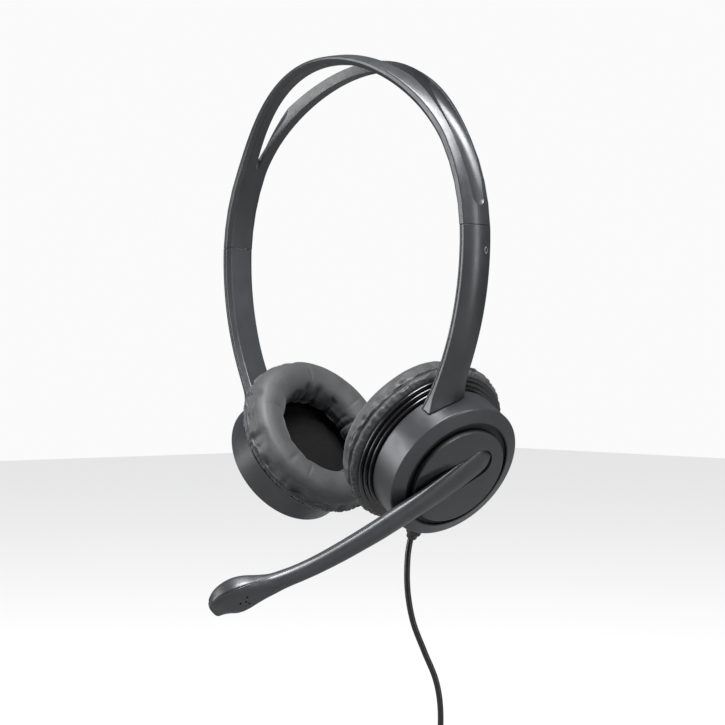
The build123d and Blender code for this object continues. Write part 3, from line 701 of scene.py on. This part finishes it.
# ------------------------------------------------------------------ ear cups
def screw_spots():
    """Places of the three cup screws, in the cup's frame."""
    turns = [math.radians(turn) for turn in (70, 155, 245)]
    return [(SCREW_CIRCLE * math.sin(turn), SCREW_CIRCLE * math.cos(turn)) for turn in turns]


def housing_shape():
    """Drum, sloping rim and floor."""
    corners = [
        (HUB_RADIUS + 0.05, -1.0, 0.1), (RIM_INNER, -1.0, 0), (RIM_INNER, 1.75, 0.25),
        (DRUM_RADIUS - 0.5, 0.05, 0.12), (DRUM_RADIUS, -0.45, 0.12),
        (DRUM_RADIUS, -DRUM_DEPTH, 0.35), (26.5, -DRUM_DEPTH, 0.2),
        (26.5, -2.6, 0.3), (HUB_RADIUS + 0.05, -2.6, 0.1),
    ]
    return lathe(soften(corners, 3), 256, soft=False)


def liner_shape():
    """Black liner of the groove, turned up along the rim, with a fine row of teeth."""
    teeth = 150
    steps = teeth * 4
    rings = []
    for step in range(steps):
        turn = 2 * math.pi * step / steps
        tooth = 0.22 if step % 4 in (0, 1) else 0.0
        wall = 22.6 - tooth
        corners = [
            (20.0, -1.0), (RIM_INNER, -1.0), (RIM_INNER, 1.72), (wall, 1.72), (wall, 0.6),
            (22.4 - tooth, 0.5), (20.0, 0.5),
        ]
        rings.append([(x * math.cos(turn), x * math.sin(turn), y) for x, y in corners])
    return skin(rings, capped=False, looped=True)


def groove_shade_band_shape():
    """Thin black band round the face disc's edge: painted shade for the groove between the disc and the rim.
    """
    inner = DISC_RADIUS - 0.3
    outer = DISC_RADIUS + 0.09
    corners = [(inner, 0.95), (outer, 0.95), (outer, 2.95), (inner, 3.0)]
    return lathe(corners, 256, 0.05)


def build_housings():
    """Cup drums with hinge ears, screw posts and the slot for the arm's lug."""
    posts = [rod((x, y, -11.0), (x, y, -2.4), 2.3) for x, y in screw_spots()]
    ears = [
        brick((-16.3, -13.7), (18.9, 22.3), (-10.9, -2.5)),
        brick((-8.1, -5.5), (18.9, 24.5), (-10.9, -2.5)),
    ]
    slot = brick((-13.65, -8.15), (17, 31), (-11.45, -5.95))
    for side_name, side in SIDES.items():
        cup = make(f"{side_name}_cup_drum", placed(housing_shape()), MATERIALS["grey_plastic"], side)
        carve(cup, [placed(slot)], side)
        join(cup, make("posts", placed(merged(*posts, *ears)), MATERIALS["grey_plastic"], side))
        finish_mesh(cup)
        settle(cup, f"{side_name}_cup", "grey_plastic", f"{side_name}_cup_housing")
        ring = make(f"{side_name}_face_groove", placed(liner_shape()), MATERIALS["black_plastic"], side)
        finish_mesh(ring)
        settle(ring, f"{side_name}_cup", "black_plastic", f"{side_name}_groove_ring")


def collar_shape():
    """Ribbed black ring between the drum and the cushion."""
    corners = [
        (20.5, -12.5), (27.3, -12.5), (27.3, -13.1), (29.3, -13.15), (29.4, -13.9), (28.7, -14.2),
        (28.7, -14.35), (30.7, -14.4), (30.8, -15.1), (30.1, -15.4), (30.1, -15.55), (32.1, -15.6),
        (32.2, -16.3), (31.3, -16.6), (31.3, -16.9), (20.5, -16.9),
    ]
    return lathe(corners, 256, 0.25)


def cloth_disc_shape():
    """Slightly domed cloth over the driver."""
    corners = [(0, -12.6), (20.3, -12.6), (20.3, -13.3), (15, -13.75), (8, -14.05), (0, -14.15)]
    return lathe(corners, 128, 0.3)


def build_collars():
    """Ribbed collars and the cloth discs inside the cushions."""
    for side_name, side in SIDES.items():
        collar = make(f"{side_name}_ribbed_collar", placed(collar_shape()), MATERIALS["gloss_black"], side)
        finish_mesh(collar, 50)
        settle(collar, f"{side_name}_cup", "gloss_black", f"{side_name}_cushion_collar")
        disc = make(f"{side_name}_cloth_disc", placed(cloth_disc_shape()), MATERIALS["cloth"], side)
        finish_mesh(disc, 50)
        settle(disc, f"{side_name}_cup", "cloth", f"{side_name}_damping_disc")


# ------------------------------------------------------------------ cushions
def cushion_outline(steps=72):
    """Outline of the cushion as (radius, height), from the back round the outside to the hole."""
    corners = [
        (18.4, -17.2), (24.0, -17.0), (31.0, -17.0), (33.0, -17.5), (34.0, -18.9), (34.0, -19.7),
        (33.1, -20.2), (34.1, -20.7), (34.6, -21.8), (34.7, -23.6), (34.0, -26.6),
        (31.6, -29.4), (28.6, -30.5), (25.6, -30.7), (22.4, -30.0),
        (19.8, -28.2), (18.4, -25.4), (17.9, -22.4), (18.0, -19.4),
    ]
    table = []
    run = 0.0
    previous = None
    for corner in corners + corners[:1]:
        if previous:
            run += math.dist(previous, corner)
        table.append((run, *corner))
        previous = corner
    return [smooth_table(table, run * step / steps) for step in range(steps)]


def waves(turn, tones):
    """Sum of a few rounded waves round the ring."""
    return sum(size * math.sin(count * turn + phase) for count, size, phase in tones)


def bump_at(value, centre, width):
    """Smooth hump between zero and one."""
    return math.exp(-((value - centre) / width) ** 2)


def ease(value, start, end):
    """Zero at start, one at end, smooth in between."""
    share = max(0.0, min(1.0, (value - start) / (end - start)))
    return share * share * (3 - 2 * share)


def cushion_mesh(seed, around=240):
    """Ring-shaped cushion with a slightly uneven body."""
    dice = random.Random(seed)
    sag = [(count, 0.09, dice.uniform(0, 6.28)) for count in (3, 5, 8)]
    swell = [(count, 0.13, dice.uniform(0, 6.28)) for count in (13, 19, 24)]
    outline = cushion_outline()
    rings = []
    for step in range(around):
        turn = 2 * math.pi * step / around
        slack = waves(turn, sag)
        wave = waves(turn, swell)
        ring = []
        for radius, height in outline:
            wall = bump_at(height, -23.6, 2.6) if radius > 26 else 0.0
            front = bump_at(height, -30.5, 2.0)
            out = radius + 0.5 * slack + wave * wall
            ring.append((out * math.cos(turn), out * math.sin(turn), height - 0.4 * slack * front))
        rings.append(ring)
    return skin(rings, capped=False, looped=True)


def lay_creases(dice, count, depth, width, slant):
    """Creases round the ring: where each lies, its depth, half width, slant and length."""
    creases = []
    for index in range(count):
        creases.append((
            2 * math.pi * (index + dice.uniform(-0.32, 0.32)) / count,
            depth * dice.uniform(0.45, 1.25),
            width * dice.uniform(0.7, 1.5),
            dice.uniform(-slant, slant),
            dice.uniform(0.35, 1.0),
        ))
    return creases


def crease_depth(creases, turn, along):
    """Depth of the nearest creases at this turn; along runs from zero at their root to one at the far end."""
    count = len(creases)
    nearest = int(turn / (2 * math.pi) * count)
    total = 0.0
    for index in range(nearest - 2, nearest + 3):
        middle, depth, width, slant, length = creases[index % count]
        away = (turn - middle - slant * along + math.pi) % (2 * math.pi) - math.pi
        fade = 1 - ease(along, 0.55 * length, length)
        total += depth * fade * math.exp(-(away / (width * (1 + 0.9 * along))) ** 2)
    return total


def pucker(obj, seed):
    """Gathers the cover: broad folds from the seam, fine ones on the lip, and folds down the hole."""
    dice = random.Random(seed * 7 + 1)
    wall_folds = lay_creases(dice, 38, 0.95, 0.048, 0.06)
    lip_folds = lay_creases(dice, 104, 0.34, 0.014, 0.02)
    hole_folds = lay_creases(dice, 26, 0.9, 0.045, 0.10)
    front_folds = lay_creases(dice, 9, 0.22, 0.025, 0.25)
    inverse = CUP.inverted()
    normals = [vertex.normal.copy() for vertex in obj.data.vertices]
    moved = []
    for vertex, normal in zip(obj.data.vertices, normals):
        spot = Vector(vertex.co) / MM
        side = 1.0 if spot.x > 0 else -1.0
        local = inverse @ Vector((spot.x * side, spot.y, spot.z))
        radius = math.hypot(local.x, local.y)
        turn = math.atan2(local.y, local.x) % (2 * math.pi)
        depth = 0.0
        if radius > 27:
            along = (-20.4 - local.z) / 9.0
            if along > 0:
                depth += crease_depth(wall_folds, turn, along) * ease(along, 0.0, 0.10)
            lip = ease(local.z, -19.9, -19.3) * (1 - ease(local.z, -17.6, -17.0))
            depth += lip * crease_depth(lip_folds, turn, 0.0)
        else:
            along = (local.z + 31.0) / 9.0
            inward = 1.0 - min(1.0, max(0.0, along))
            depth += crease_depth(hole_folds, turn, inward) * (1 - ease(radius, 19.5, 24.0))
        ring = bump_at(radius, 25.5, 4.0) * (1.0 if local.z < -27 else 0.0)
        depth += ring * crease_depth(front_folds, turn, 0.2)
        moved.extend((spot - normal * depth) * MM)
    obj.data.vertices.foreach_set("co", moved)
    obj.data.update()


def simulate(obj):
    """Pressure from inside rounds the cover between its sewn edges, which are held."""
    inverse = CUP.inverted()
    held = obj.vertex_groups.new(name="held")
    for vertex in obj.data.vertices:
        point = Vector(vertex.co) / MM
        local = inverse @ Vector((abs(point.x), point.y, point.z))
        radius = math.hypot(local.x, local.y)
        seam = radius > 30 and abs(local.z + 20.2) < 0.6
        back = local.z > -17.6
        held.add([vertex.index], 1.0 if seam or back else 0.0, "REPLACE")
    cloth = obj.modifiers.new("cloth", "CLOTH")
    cloth.settings.quality = 6
    cloth.settings.mass = 0.15
    cloth.settings.tension_stiffness = 18
    cloth.settings.compression_stiffness = 12
    cloth.settings.bending_stiffness = 0.6
    cloth.settings.effector_weights.gravity = 0.0
    cloth.settings.use_pressure = True
    cloth.settings.uniform_pressure_force = 3.0
    cloth.settings.shrink_min = -0.05
    cloth.settings.vertex_group_mass = "held"
    cloth.collision_settings.use_collision = False
    cloth.point_cache.frame_start = 1
    cloth.point_cache.frame_end = 16
    rest = [vertex.co.copy() for vertex in obj.data.vertices]
    for number in range(1, 17):
        bpy.context.scene.frame_set(number)
        bpy.context.view_layer.update()
    apply_modifiers(obj)
    bpy.context.scene.frame_set(1)
    moved = []
    for vertex, start in zip(obj.data.vertices, rest):
        move = vertex.co - start
        if move.length > CUSHION_PULL_LIMIT:
            move = move.normalized() * CUSHION_PULL_LIMIT
        moved.extend(start + move)
    obj.data.vertices.foreach_set("co", moved)
    obj.data.update()


def seam_cord(side_name, side):
    """Thin stitched cord that lies in the seam round the cushion's wall."""
    rings = []
    around = 300
    for step in range(around):
        turn = 2 * math.pi * step / around
        ring = []
        for point in range(8):
            angle = 2 * math.pi * point / 8
            radius = 33.3 + 0.36 * math.cos(angle)
            ring.append((radius * math.cos(turn), radius * math.sin(turn), -20.2 + 0.36 * math.sin(angle)))
        rings.append(ring)
    ring = placed(skin(rings, False, True))
    cord = make(f"{side_name}_cushion_seam", ring, MATERIALS["black_plastic"], side)
    finish_mesh(cord, 60)
    settle(cord, f"{side_name}_cup", "black_plastic")


def build_cushions():
    """Soft ring cushions, blown up a little by the cloth solver."""
    for seed, (side_name, side) in enumerate(SIDES.items()):
        shape = placed(cushion_mesh(seed + 5))
        cushion = make(f"{side_name}_ear_cushion", shape, MATERIALS["leatherette"], side)
        simulate(cushion)
        smoother = cushion.modifiers.new("smooth", "SUBSURF")
        smoother.levels = 1
        smoother.render_levels = 1
        apply_modifiers(cushion)
        pucker(cushion, seed + 5)
        cushion.data.polygons.foreach_set("use_smooth", [True] * len(cushion.data.polygons))
        settle(cushion, f"{side_name}_cup", "leatherette", f"{side_name}_cushion")
        seam_cord(side_name, side)


# ------------------------------------------------------------------ boom
ALONG = Vector((-math.cos(math.radians(BOOM_DROP)), -math.sin(math.radians(BOOM_DROP)), 0))
UP = Vector((-math.sin(math.radians(BOOM_DROP)), math.cos(math.radians(BOOM_DROP)), 0))


def boom_level(station):
    """Height of the boom's centreline above the rim plane."""
    if station < 25:
        return 5.0 - 2.4 * ((25 - station) / 34) ** 1.6
    return 5.0 - 8.5 * ((station - 25) / 77) ** 2.6


def boom_point(station, up=0.0, out=0.0):
    """Point at a station along the boom, in the cup's frame."""
    rise = smooth_table(BOOM_STATIONS, station)[0]
    return ALONG * station + UP * (BOOM_OFFSET + rise + up) + Vector((0, 0, boom_level(station) + out))


def boom_sizes(station):
    """Half width, half thickness and corner exponent, rounded off at both ends."""
    across, through, power = smooth_table(BOOM_STATIONS, station)[1:]
    if station < BOOM_ROOT:
        share = min(1.0, (BOOM_ROOT - station) / BOOM_ROOT_HALF)
        across = max(0.12, across * math.sqrt(max(0.0, 1 - share * share)))
        through = max(0.5, through * (1 - 0.35 * share ** 3))
    return across, through, power


def section_point(station, turn, shrink=0.0):
    """Point on the boom's skin; turn 0 is its upper edge, a quarter turn is outwards."""
    across, through, power = boom_sizes(station)
    cosine = math.cos(turn)
    sine = math.sin(turn)
    up = (across - shrink) * math.copysign(abs(cosine) ** (2 / power), cosine)
    out = (through - shrink) * math.copysign(abs(sine) ** (2 / power), sine)
    floor = ROOT_FLOOR + 0.02 - boom_level(station)
    if station < 20.0:
        out = max(out, floor)
    step = 0.5
    ahead = boom_point(station + step) - boom_point(station - step)
    ahead.normalize()
    upward = (UP - ahead * UP.dot(ahead)).normalized()
    outward = upward.cross(ahead)
    if outward.z < 0:
        outward = -outward
    return boom_point(station) + upward * up + outward * out


def parting_turn(station):
    """Turn at which the parting line meets the skin on the boom's upper side."""
    through, power = boom_sizes(station)[1:]
    share = max(0.0, min(0.95, smooth_table(BOOM_PARTING, station)[0] / through))
    return math.asin(share ** (power / 2))


def split_stations():
    """Stations from the start of the split to the blunt tip."""
    first = BOOM_SPLIT_START + 0.02
    return [first + (BOOM_END - first) * k / 90 for k in range(91)]


def skin_ring(station, start, end, gap=0.0, count=48):
    """Part of the skin between two turns, closed by a straight line."""
    ring = [section_point(station, start + (end - start) * index / count) for index in range(count + 1)]
    shift = Vector((0, 0, gap))
    ring[0] = ring[0] + shift
    ring[-1] = ring[-1] + shift
    return ring


def boom_inner_rings():
    """Rings of the inner shell, which is the whole boom before the split starts."""
    stations = [BOOM_ROOT - BOOM_ROOT_HALF * math.cos(math.pi / 2 * k / 12) for k in range(12)]
    stations += [BOOM_ROOT + (BOOM_SPLIT_START - BOOM_ROOT) * k / 30 for k in range(31)]
    middle = math.pi / 2
    rings = [skin_ring(station, middle + 0.03, 2 * math.pi + middle - 0.03) for station in stations]
    for station in split_stations():
        edge = parting_turn(station)
        rings.append(skin_ring(station, math.pi - edge, 2 * math.pi + edge, -PARTING_GAP))
    return rings


def boom_outer_rings():
    """Rings of the outer shell from the start of the split to the tip."""
    rings = []
    for station in split_stations():
        edge = parting_turn(station)
        rings.append(skin_ring(station, edge, math.pi - edge, PARTING_GAP))
    return rings


def tip_cap(rings, station, shrinks):
    """Adds shrinking rings that round off the tip."""
    centre = boom_point(station)
    last = rings[-1]
    for share, ahead in shrinks:
        rings.append([centre + (point - centre) * share + ALONG * ahead for point in last])
    return rings


TIP = [(0.93, 0.45), (0.82, 0.85), (0.64, 1.15), (0.4, 1.32), (0.15, 1.4)]


def sound_hole_cutters():
    """Four small holes over the microphone, drilled from outside."""
    middle = ALONG * MIC_STATION + UP * (BOOM_OFFSET + MIC_LIFT)
    low = boom_level(MIC_STATION) + 2.2
    holes = []
    for ahead, up in ((-1.0, 1.95), (0.0, 0.0), (2.0, 0.2), (-0.9, -1.55)):
        spot = middle + ALONG * ahead + UP * up
        start = Vector((spot.x, spot.y, low))
        holes.append(placed(rod(start, start + Vector((0, 0, 6)), HOLE_RADIUS, 20)))
    return holes


def disc_height(x, y, dome):
    """Height of the hub disc's face, with the valley along the boom's upper side."""
    radius = math.hypot(x, y)
    height = 4.1 - 0.8 * (radius / DISC_RADIUS) ** 2
    if not dome:
        spot = Vector((x, y, 0))
        along = spot.dot(ALONG)
        up = spot.dot(UP) - BOOM_OFFSET
        deepening = 1 / (1 + math.exp(-(along - 4.0) / 3.2))
        height -= 1.7 * deepening * math.exp(-((up - BOOM_ROOT_HALF - 0.2) / 3.2) ** 2)
    return height


def face_disc(dome, underside):
    """Disc that fills the cup's face, as a fine polar grid."""
    radii = [DISC_RADIUS * math.sqrt((k + 1) / 40) - 0.22 for k in range(40)]
    rounding = [(DISC_RADIUS - 0.08, -0.04), (DISC_RADIUS, -0.16)]
    rings = [[] for _ in range(len(radii) + len(rounding) + 1)]
    steps = 256
    for step in range(steps):
        turn = 2 * math.pi * step / steps
        x = math.cos(turn)
        y = math.sin(turn)
        for ring, radius in zip(rings, radii):
            ring.append((x * radius, y * radius, disc_height(x * radius, y * radius, dome)))
        edge = disc_height(x * DISC_RADIUS, y * DISC_RADIUS, dome)
        for ring, (radius, drop) in zip(rings[len(radii):], rounding):
            ring.append((x * radius, y * radius, edge + drop))
        rings[-1].append((x * DISC_RADIUS, y * DISC_RADIUS, underside))
    return skin(rings)


def pocket_cutter():
    """Stadium-shaped recess for the boom's root."""
    outline = []
    half = BOOM_ROOT_HALF + 0.16
    for step in range(33):
        turn = math.pi / 2 + math.pi * step / 32
        along = BOOM_ROOT + half * math.cos(turn)
        up = BOOM_OFFSET + half * math.sin(turn)
        outline.append(ALONG * along + UP * up)
    outline.append(ALONG * 30 + UP * (BOOM_OFFSET - half))
    outline.append(ALONG * 30 + UP * (BOOM_OFFSET + half))
    return skin([[point + Vector((0, 0, z)) for point in outline] for z in (ROOT_FLOOR, 20.0)])


def build_faces():
    """Hub disc on the left cup, plain cap disc on the right cup."""
    hub = make("hub_face", placed(face_disc(False, 0.9)), MATERIALS["grey_plastic"])
    carve(hub, [placed(pocket_cutter())])
    corners = [
        (2.4, 0.95), (HUB_RADIUS, 0.95), (HUB_RADIUS, -3.4), (5.3, -3.4),
        (5.3, -4.2), (6, -4.2), (6, -4.6), (2.4, -4.6),
    ]
    join(hub, make("shaft", placed(lathe(corners, 96, 0.05)), MATERIALS["grey_plastic"]))
    finish_mesh(hub)
    settle(hub, "boom", "grey_plastic", "hub_disc")
    cap = make("right_cap_face", placed(face_disc(True, -1.0)), MATERIALS["grey_plastic"], -1.0)
    boss = lathe([(0, -1.0), (6, -1.0), (6, -3.4), (0, -3.4)], 96, 0.05)
    join(cap, make("boss", placed(boss), MATERIALS["grey_plastic"], -1.0))
    finish_mesh(cap)
    settle(cap, "right_cup", "grey_plastic", "right_cap_disc")
    # The black bands round both discs' edges are painted shade in the groove around each disc.
    for name, side, body in (("hub_groove_shade_band", 1.0, "boom"), ("right_cap_groove_shade_band", -1.0, "right_cup")):
        shade_band = make(name, placed(groove_shade_band_shape()), MATERIALS["black_plastic"], side)
        finish_mesh(shade_band)
        settle(shade_band, body, "black_plastic")


def build_boom():
    """Inner and outer shell of the microphone boom."""
    rings = tip_cap(boom_inner_rings(), BOOM_END, TIP)
    inner = make("boom_inner", placed(skin(rings)), MATERIALS["grey_plastic"])
    finish_mesh(inner, 40)
    settle(inner, "boom", "grey_plastic", "boom_inner_shell")
    rings = tip_cap(boom_outer_rings(), BOOM_END, TIP)
    outer = make("boom_outer", placed(skin(rings)), MATERIALS["grey_plastic"])
    carve(outer, sound_hole_cutters())
    finish_mesh(outer, 40)
    settle(outer, "boom", "grey_plastic", "boom_outer_shell")


# ------------------------------------------------------------------ cable
def tube(centres, radius, steps=24):
    """Round tube along a line of points."""
    rings = []
    upright = Vector((0, 1, 0))
    for index, centre in enumerate(centres):
        before = centres[max(0, index - 1)]
        after = centres[min(len(centres) - 1, index + 1)]
        axis = (after - before).normalized()
        across = axis.cross(upright).normalized()
        upright = across.cross(axis).normalized()
        ring = []
        for step in range(steps):
            turn = 2 * math.pi * step / steps
            ring.append(centre + across * radius * math.cos(turn) + upright * radius * math.sin(turn))
        rings.append(ring)
    return skin(rings)


def build_cable():
    """Strain relief, hanging cable and plug."""
    inside = CUP @ Vector((0, -24.8, CABLE_EXIT_Z))
    outside = CUP @ Vector((0, -RELIEF_END - 0.5, CABLE_EXIT_Z))
    spots = [inside, inside.lerp(outside, 0.5), outside]
    spots += [Vector(spot) for spot in (*CABLE_HANG, PLUG_TOP)]
    table = []
    run = 0.0
    for index, spot in enumerate(spots):
        if index:
            run += (spot - spots[index - 1]).length
        table.append((run, *spot))
    centres = [Vector(smooth_table(table, run * step / 160)) for step in range(161)]
    cable = make("hanging_cable", tube(centres, CABLE_RADIUS), MATERIALS["cable_sheath"])
    finish_mesh(cable, 50)
    settle(cable, "left_cup", "cable_sheath", "cable")
    corners = [
        (1.15, 25.2), (2.6, 25.2), (2.6, 28.3), (3.3, 28.3), (3.3, 30.4), (2.45, 30.6), (2.45, 31.3),
        (3.0, 31.4), (2.95, 33.2), (2.25, 33.4), (2.0, 35.5), (1.15, 35.5),
    ]
    points, faces = lathe(corners, 96, 0.3)
    relief_points = [(x, -z, CABLE_EXIT_Z + y) for x, y, z in points]
    relief = make("strain_relief_sleeve", placed((relief_points, faces)), MATERIALS["cable_sheath"])
    finish_mesh(relief, 50)
    settle(relief, "left_cup", "cable_sheath", "strain_relief")
    x, y, z = PLUG_TOP
    low = z - 20
    body = [
        (0, z), (1.5, z), (2.0, z - 0.1), (2.3, z - 3), (3.9, z - 5), (4.0, z - 6),
        (4.0, z - 8), (3.75, z - 8.3), (3.75, z - 8.9), (4.0, z - 9.2),
        (4.0, z - 10.4), (3.75, z - 10.7), (3.75, z - 11.3), (4.0, z - 11.6), (4.0, low), (0, low),
    ]
    pin = [
        (0, low), (2.6, low), (2.6, low - 1), (1.75, low - 1), (1.75, low - 4.6), (1.6, low - 4.7),
        (1.6, low - 5.2), (1.75, low - 5.3), (1.75, low - 12), (1.3, low - 12.6), (1.75, low - 13.2),
        (0.6, low - 14), (0, low - 14),
    ]
    for name, corners, slot_name, node in (
        ("plug_grip", body, "cable_sheath", "plug_body"),
        ("plug_contact", pin, "plated", "plug_pin"),
    ):
        points, faces = lathe(corners, 96, 0.15)
        moved = [(across + x, deep + y, up) for across, deep, up in points]
        piece = make(name, (moved, faces), MATERIALS[slot_name])
        finish_mesh(piece, 40)
        settle(piece, "left_cup", slot_name, node)


# ------------------------------------------------------------------ stage
def area_light(name, place, target, size, power, colour=(1, 1, 1)):
    """Soft rectangular light that looks at a point."""
    data = bpy.data.lights.new(name, "AREA")
    data.shape = "RECTANGLE"
    data.size = size[0]
    data.size_y = size[1]
    data.energy = power
    data.color = colour
    light = bpy.data.objects.new(name, data)
    light.location = place
    light.rotation_euler = (Vector(target) - Vector(place)).to_track_quat("-Z", "Y").to_euler()
    bpy.context.scene.collection.objects.link(light)
    return light


def build_stage():
    """Pale floor, soft studio light and the camera."""
    shader = Shader("pale floor")
    haze = shader.noise(3.0, 3.0)
    tint = shader.ramp(haze, "Fac", [(0.3, (0.86, 0.86, 0.86)), (0.7, (0.9, 0.9, 0.9))])
    seen = shader.add("ShaderNodeLightPath")
    bounce = shader.add("ShaderNodeMixRGB")
    bounce.inputs["Color1"].default_value = (0.25, 0.25, 0.25, 1.0)
    shader.link(seen, "Is Camera Ray", bounce, "Fac")
    shader.link(tint, "Color", bounce, "Color2")
    shader.link(bounce, "Color", shader.base, "Base Color")
    shader.base.inputs["Roughness"].default_value = 0.7
    glow = shader.add("ShaderNodeEmission")
    glow.inputs["Color"].default_value = (0.93, 0.93, 0.93, 1.0)
    blend = shader.add("ShaderNodeMixShader")
    strength = shader.add("ShaderNodeMath", operation="MULTIPLY")
    strength.inputs[1].default_value = 0.82
    shader.link(seen, "Is Camera Ray", strength, 0)
    shader.link(strength, "Value", blend, "Fac")
    shader.link(shader.base, "BSDF", blend, 1)
    shader.link(glow, "Emission", blend, 2)
    shader.link(blend, "Shader", shader.output, "Surface")
    span = FLOOR_HALF_SPAN
    corners = [(x * span, y * span, FLOOR_Z) for x, y in ((-1, -1), (1, -1), (1, 1), (-1, 1))]
    floor = make("floor", (corners, [(0, 1, 2, 3)]), shader.material)
    bpy.context.scene.view_settings.view_transform = "Standard"
    world = bpy.data.worlds.new("studio")
    bpy.context.scene.world = world
    world.use_nodes = True
    tree = world.node_tree
    background = tree.nodes["Background"]
    path = tree.nodes.new("ShaderNodeLightPath")
    mix = tree.nodes.new("ShaderNodeMix")
    mix.data_type = "RGBA"
    tree.links.new(path.outputs["Is Camera Ray"], mix.inputs["Factor"])
    mix.inputs["A"].default_value = (0.09, 0.094, 0.1, 1.0)
    mix.inputs["B"].default_value = (0.96, 0.96, 0.96, 1.0)
    tree.links.new(mix.outputs["Result"], background.inputs["Color"])
    background.inputs["Strength"].default_value = 1.0
    middle = (0.0, 0.0, -0.10)
    area_light("key", (0.35, -0.20, 0.80), middle, (0.6, 0.6), 36)
    area_light("fill", (-0.65, -0.95, 0.05), middle, (0.45, 0.9), 12)
    area_light("rim", (1.0, 0.35, 0.0), middle, (0.16, 0.9), 5)
    data = bpy.data.cameras.new("camera")
    data.lens = CAMERA_LENS
    data.sensor_width = 36.0
    data.clip_start = 0.01
    camera = bpy.data.objects.new("camera", data)
    target = Vector(CAMERA_TARGET) * MM
    azimuth = math.radians(CAMERA_AZIMUTH)
    elevation = math.radians(CAMERA_ELEVATION)
    level = math.cos(elevation)
    away = Vector((math.sin(azimuth) * level, -math.cos(azimuth) * level, math.sin(elevation)))
    camera.location = target + away * CAMERA_DISTANCE * MM
    look = (target - camera.location).to_track_quat("-Z", "Y")
    roll = Matrix.Rotation(math.radians(CAMERA_ROLL), 4, "Z")
    camera.matrix_world = Matrix.Translation(camera.location) @ look.to_matrix().to_4x4() @ roll
    bpy.context.scene.collection.objects.link(camera)
    bpy.context.scene.camera = camera


dress_cad_nodes()
build_band()
build_arms()
build_housings()
build_collars()
build_cushions()
build_faces()
build_boom()
build_cable()
build_stage()
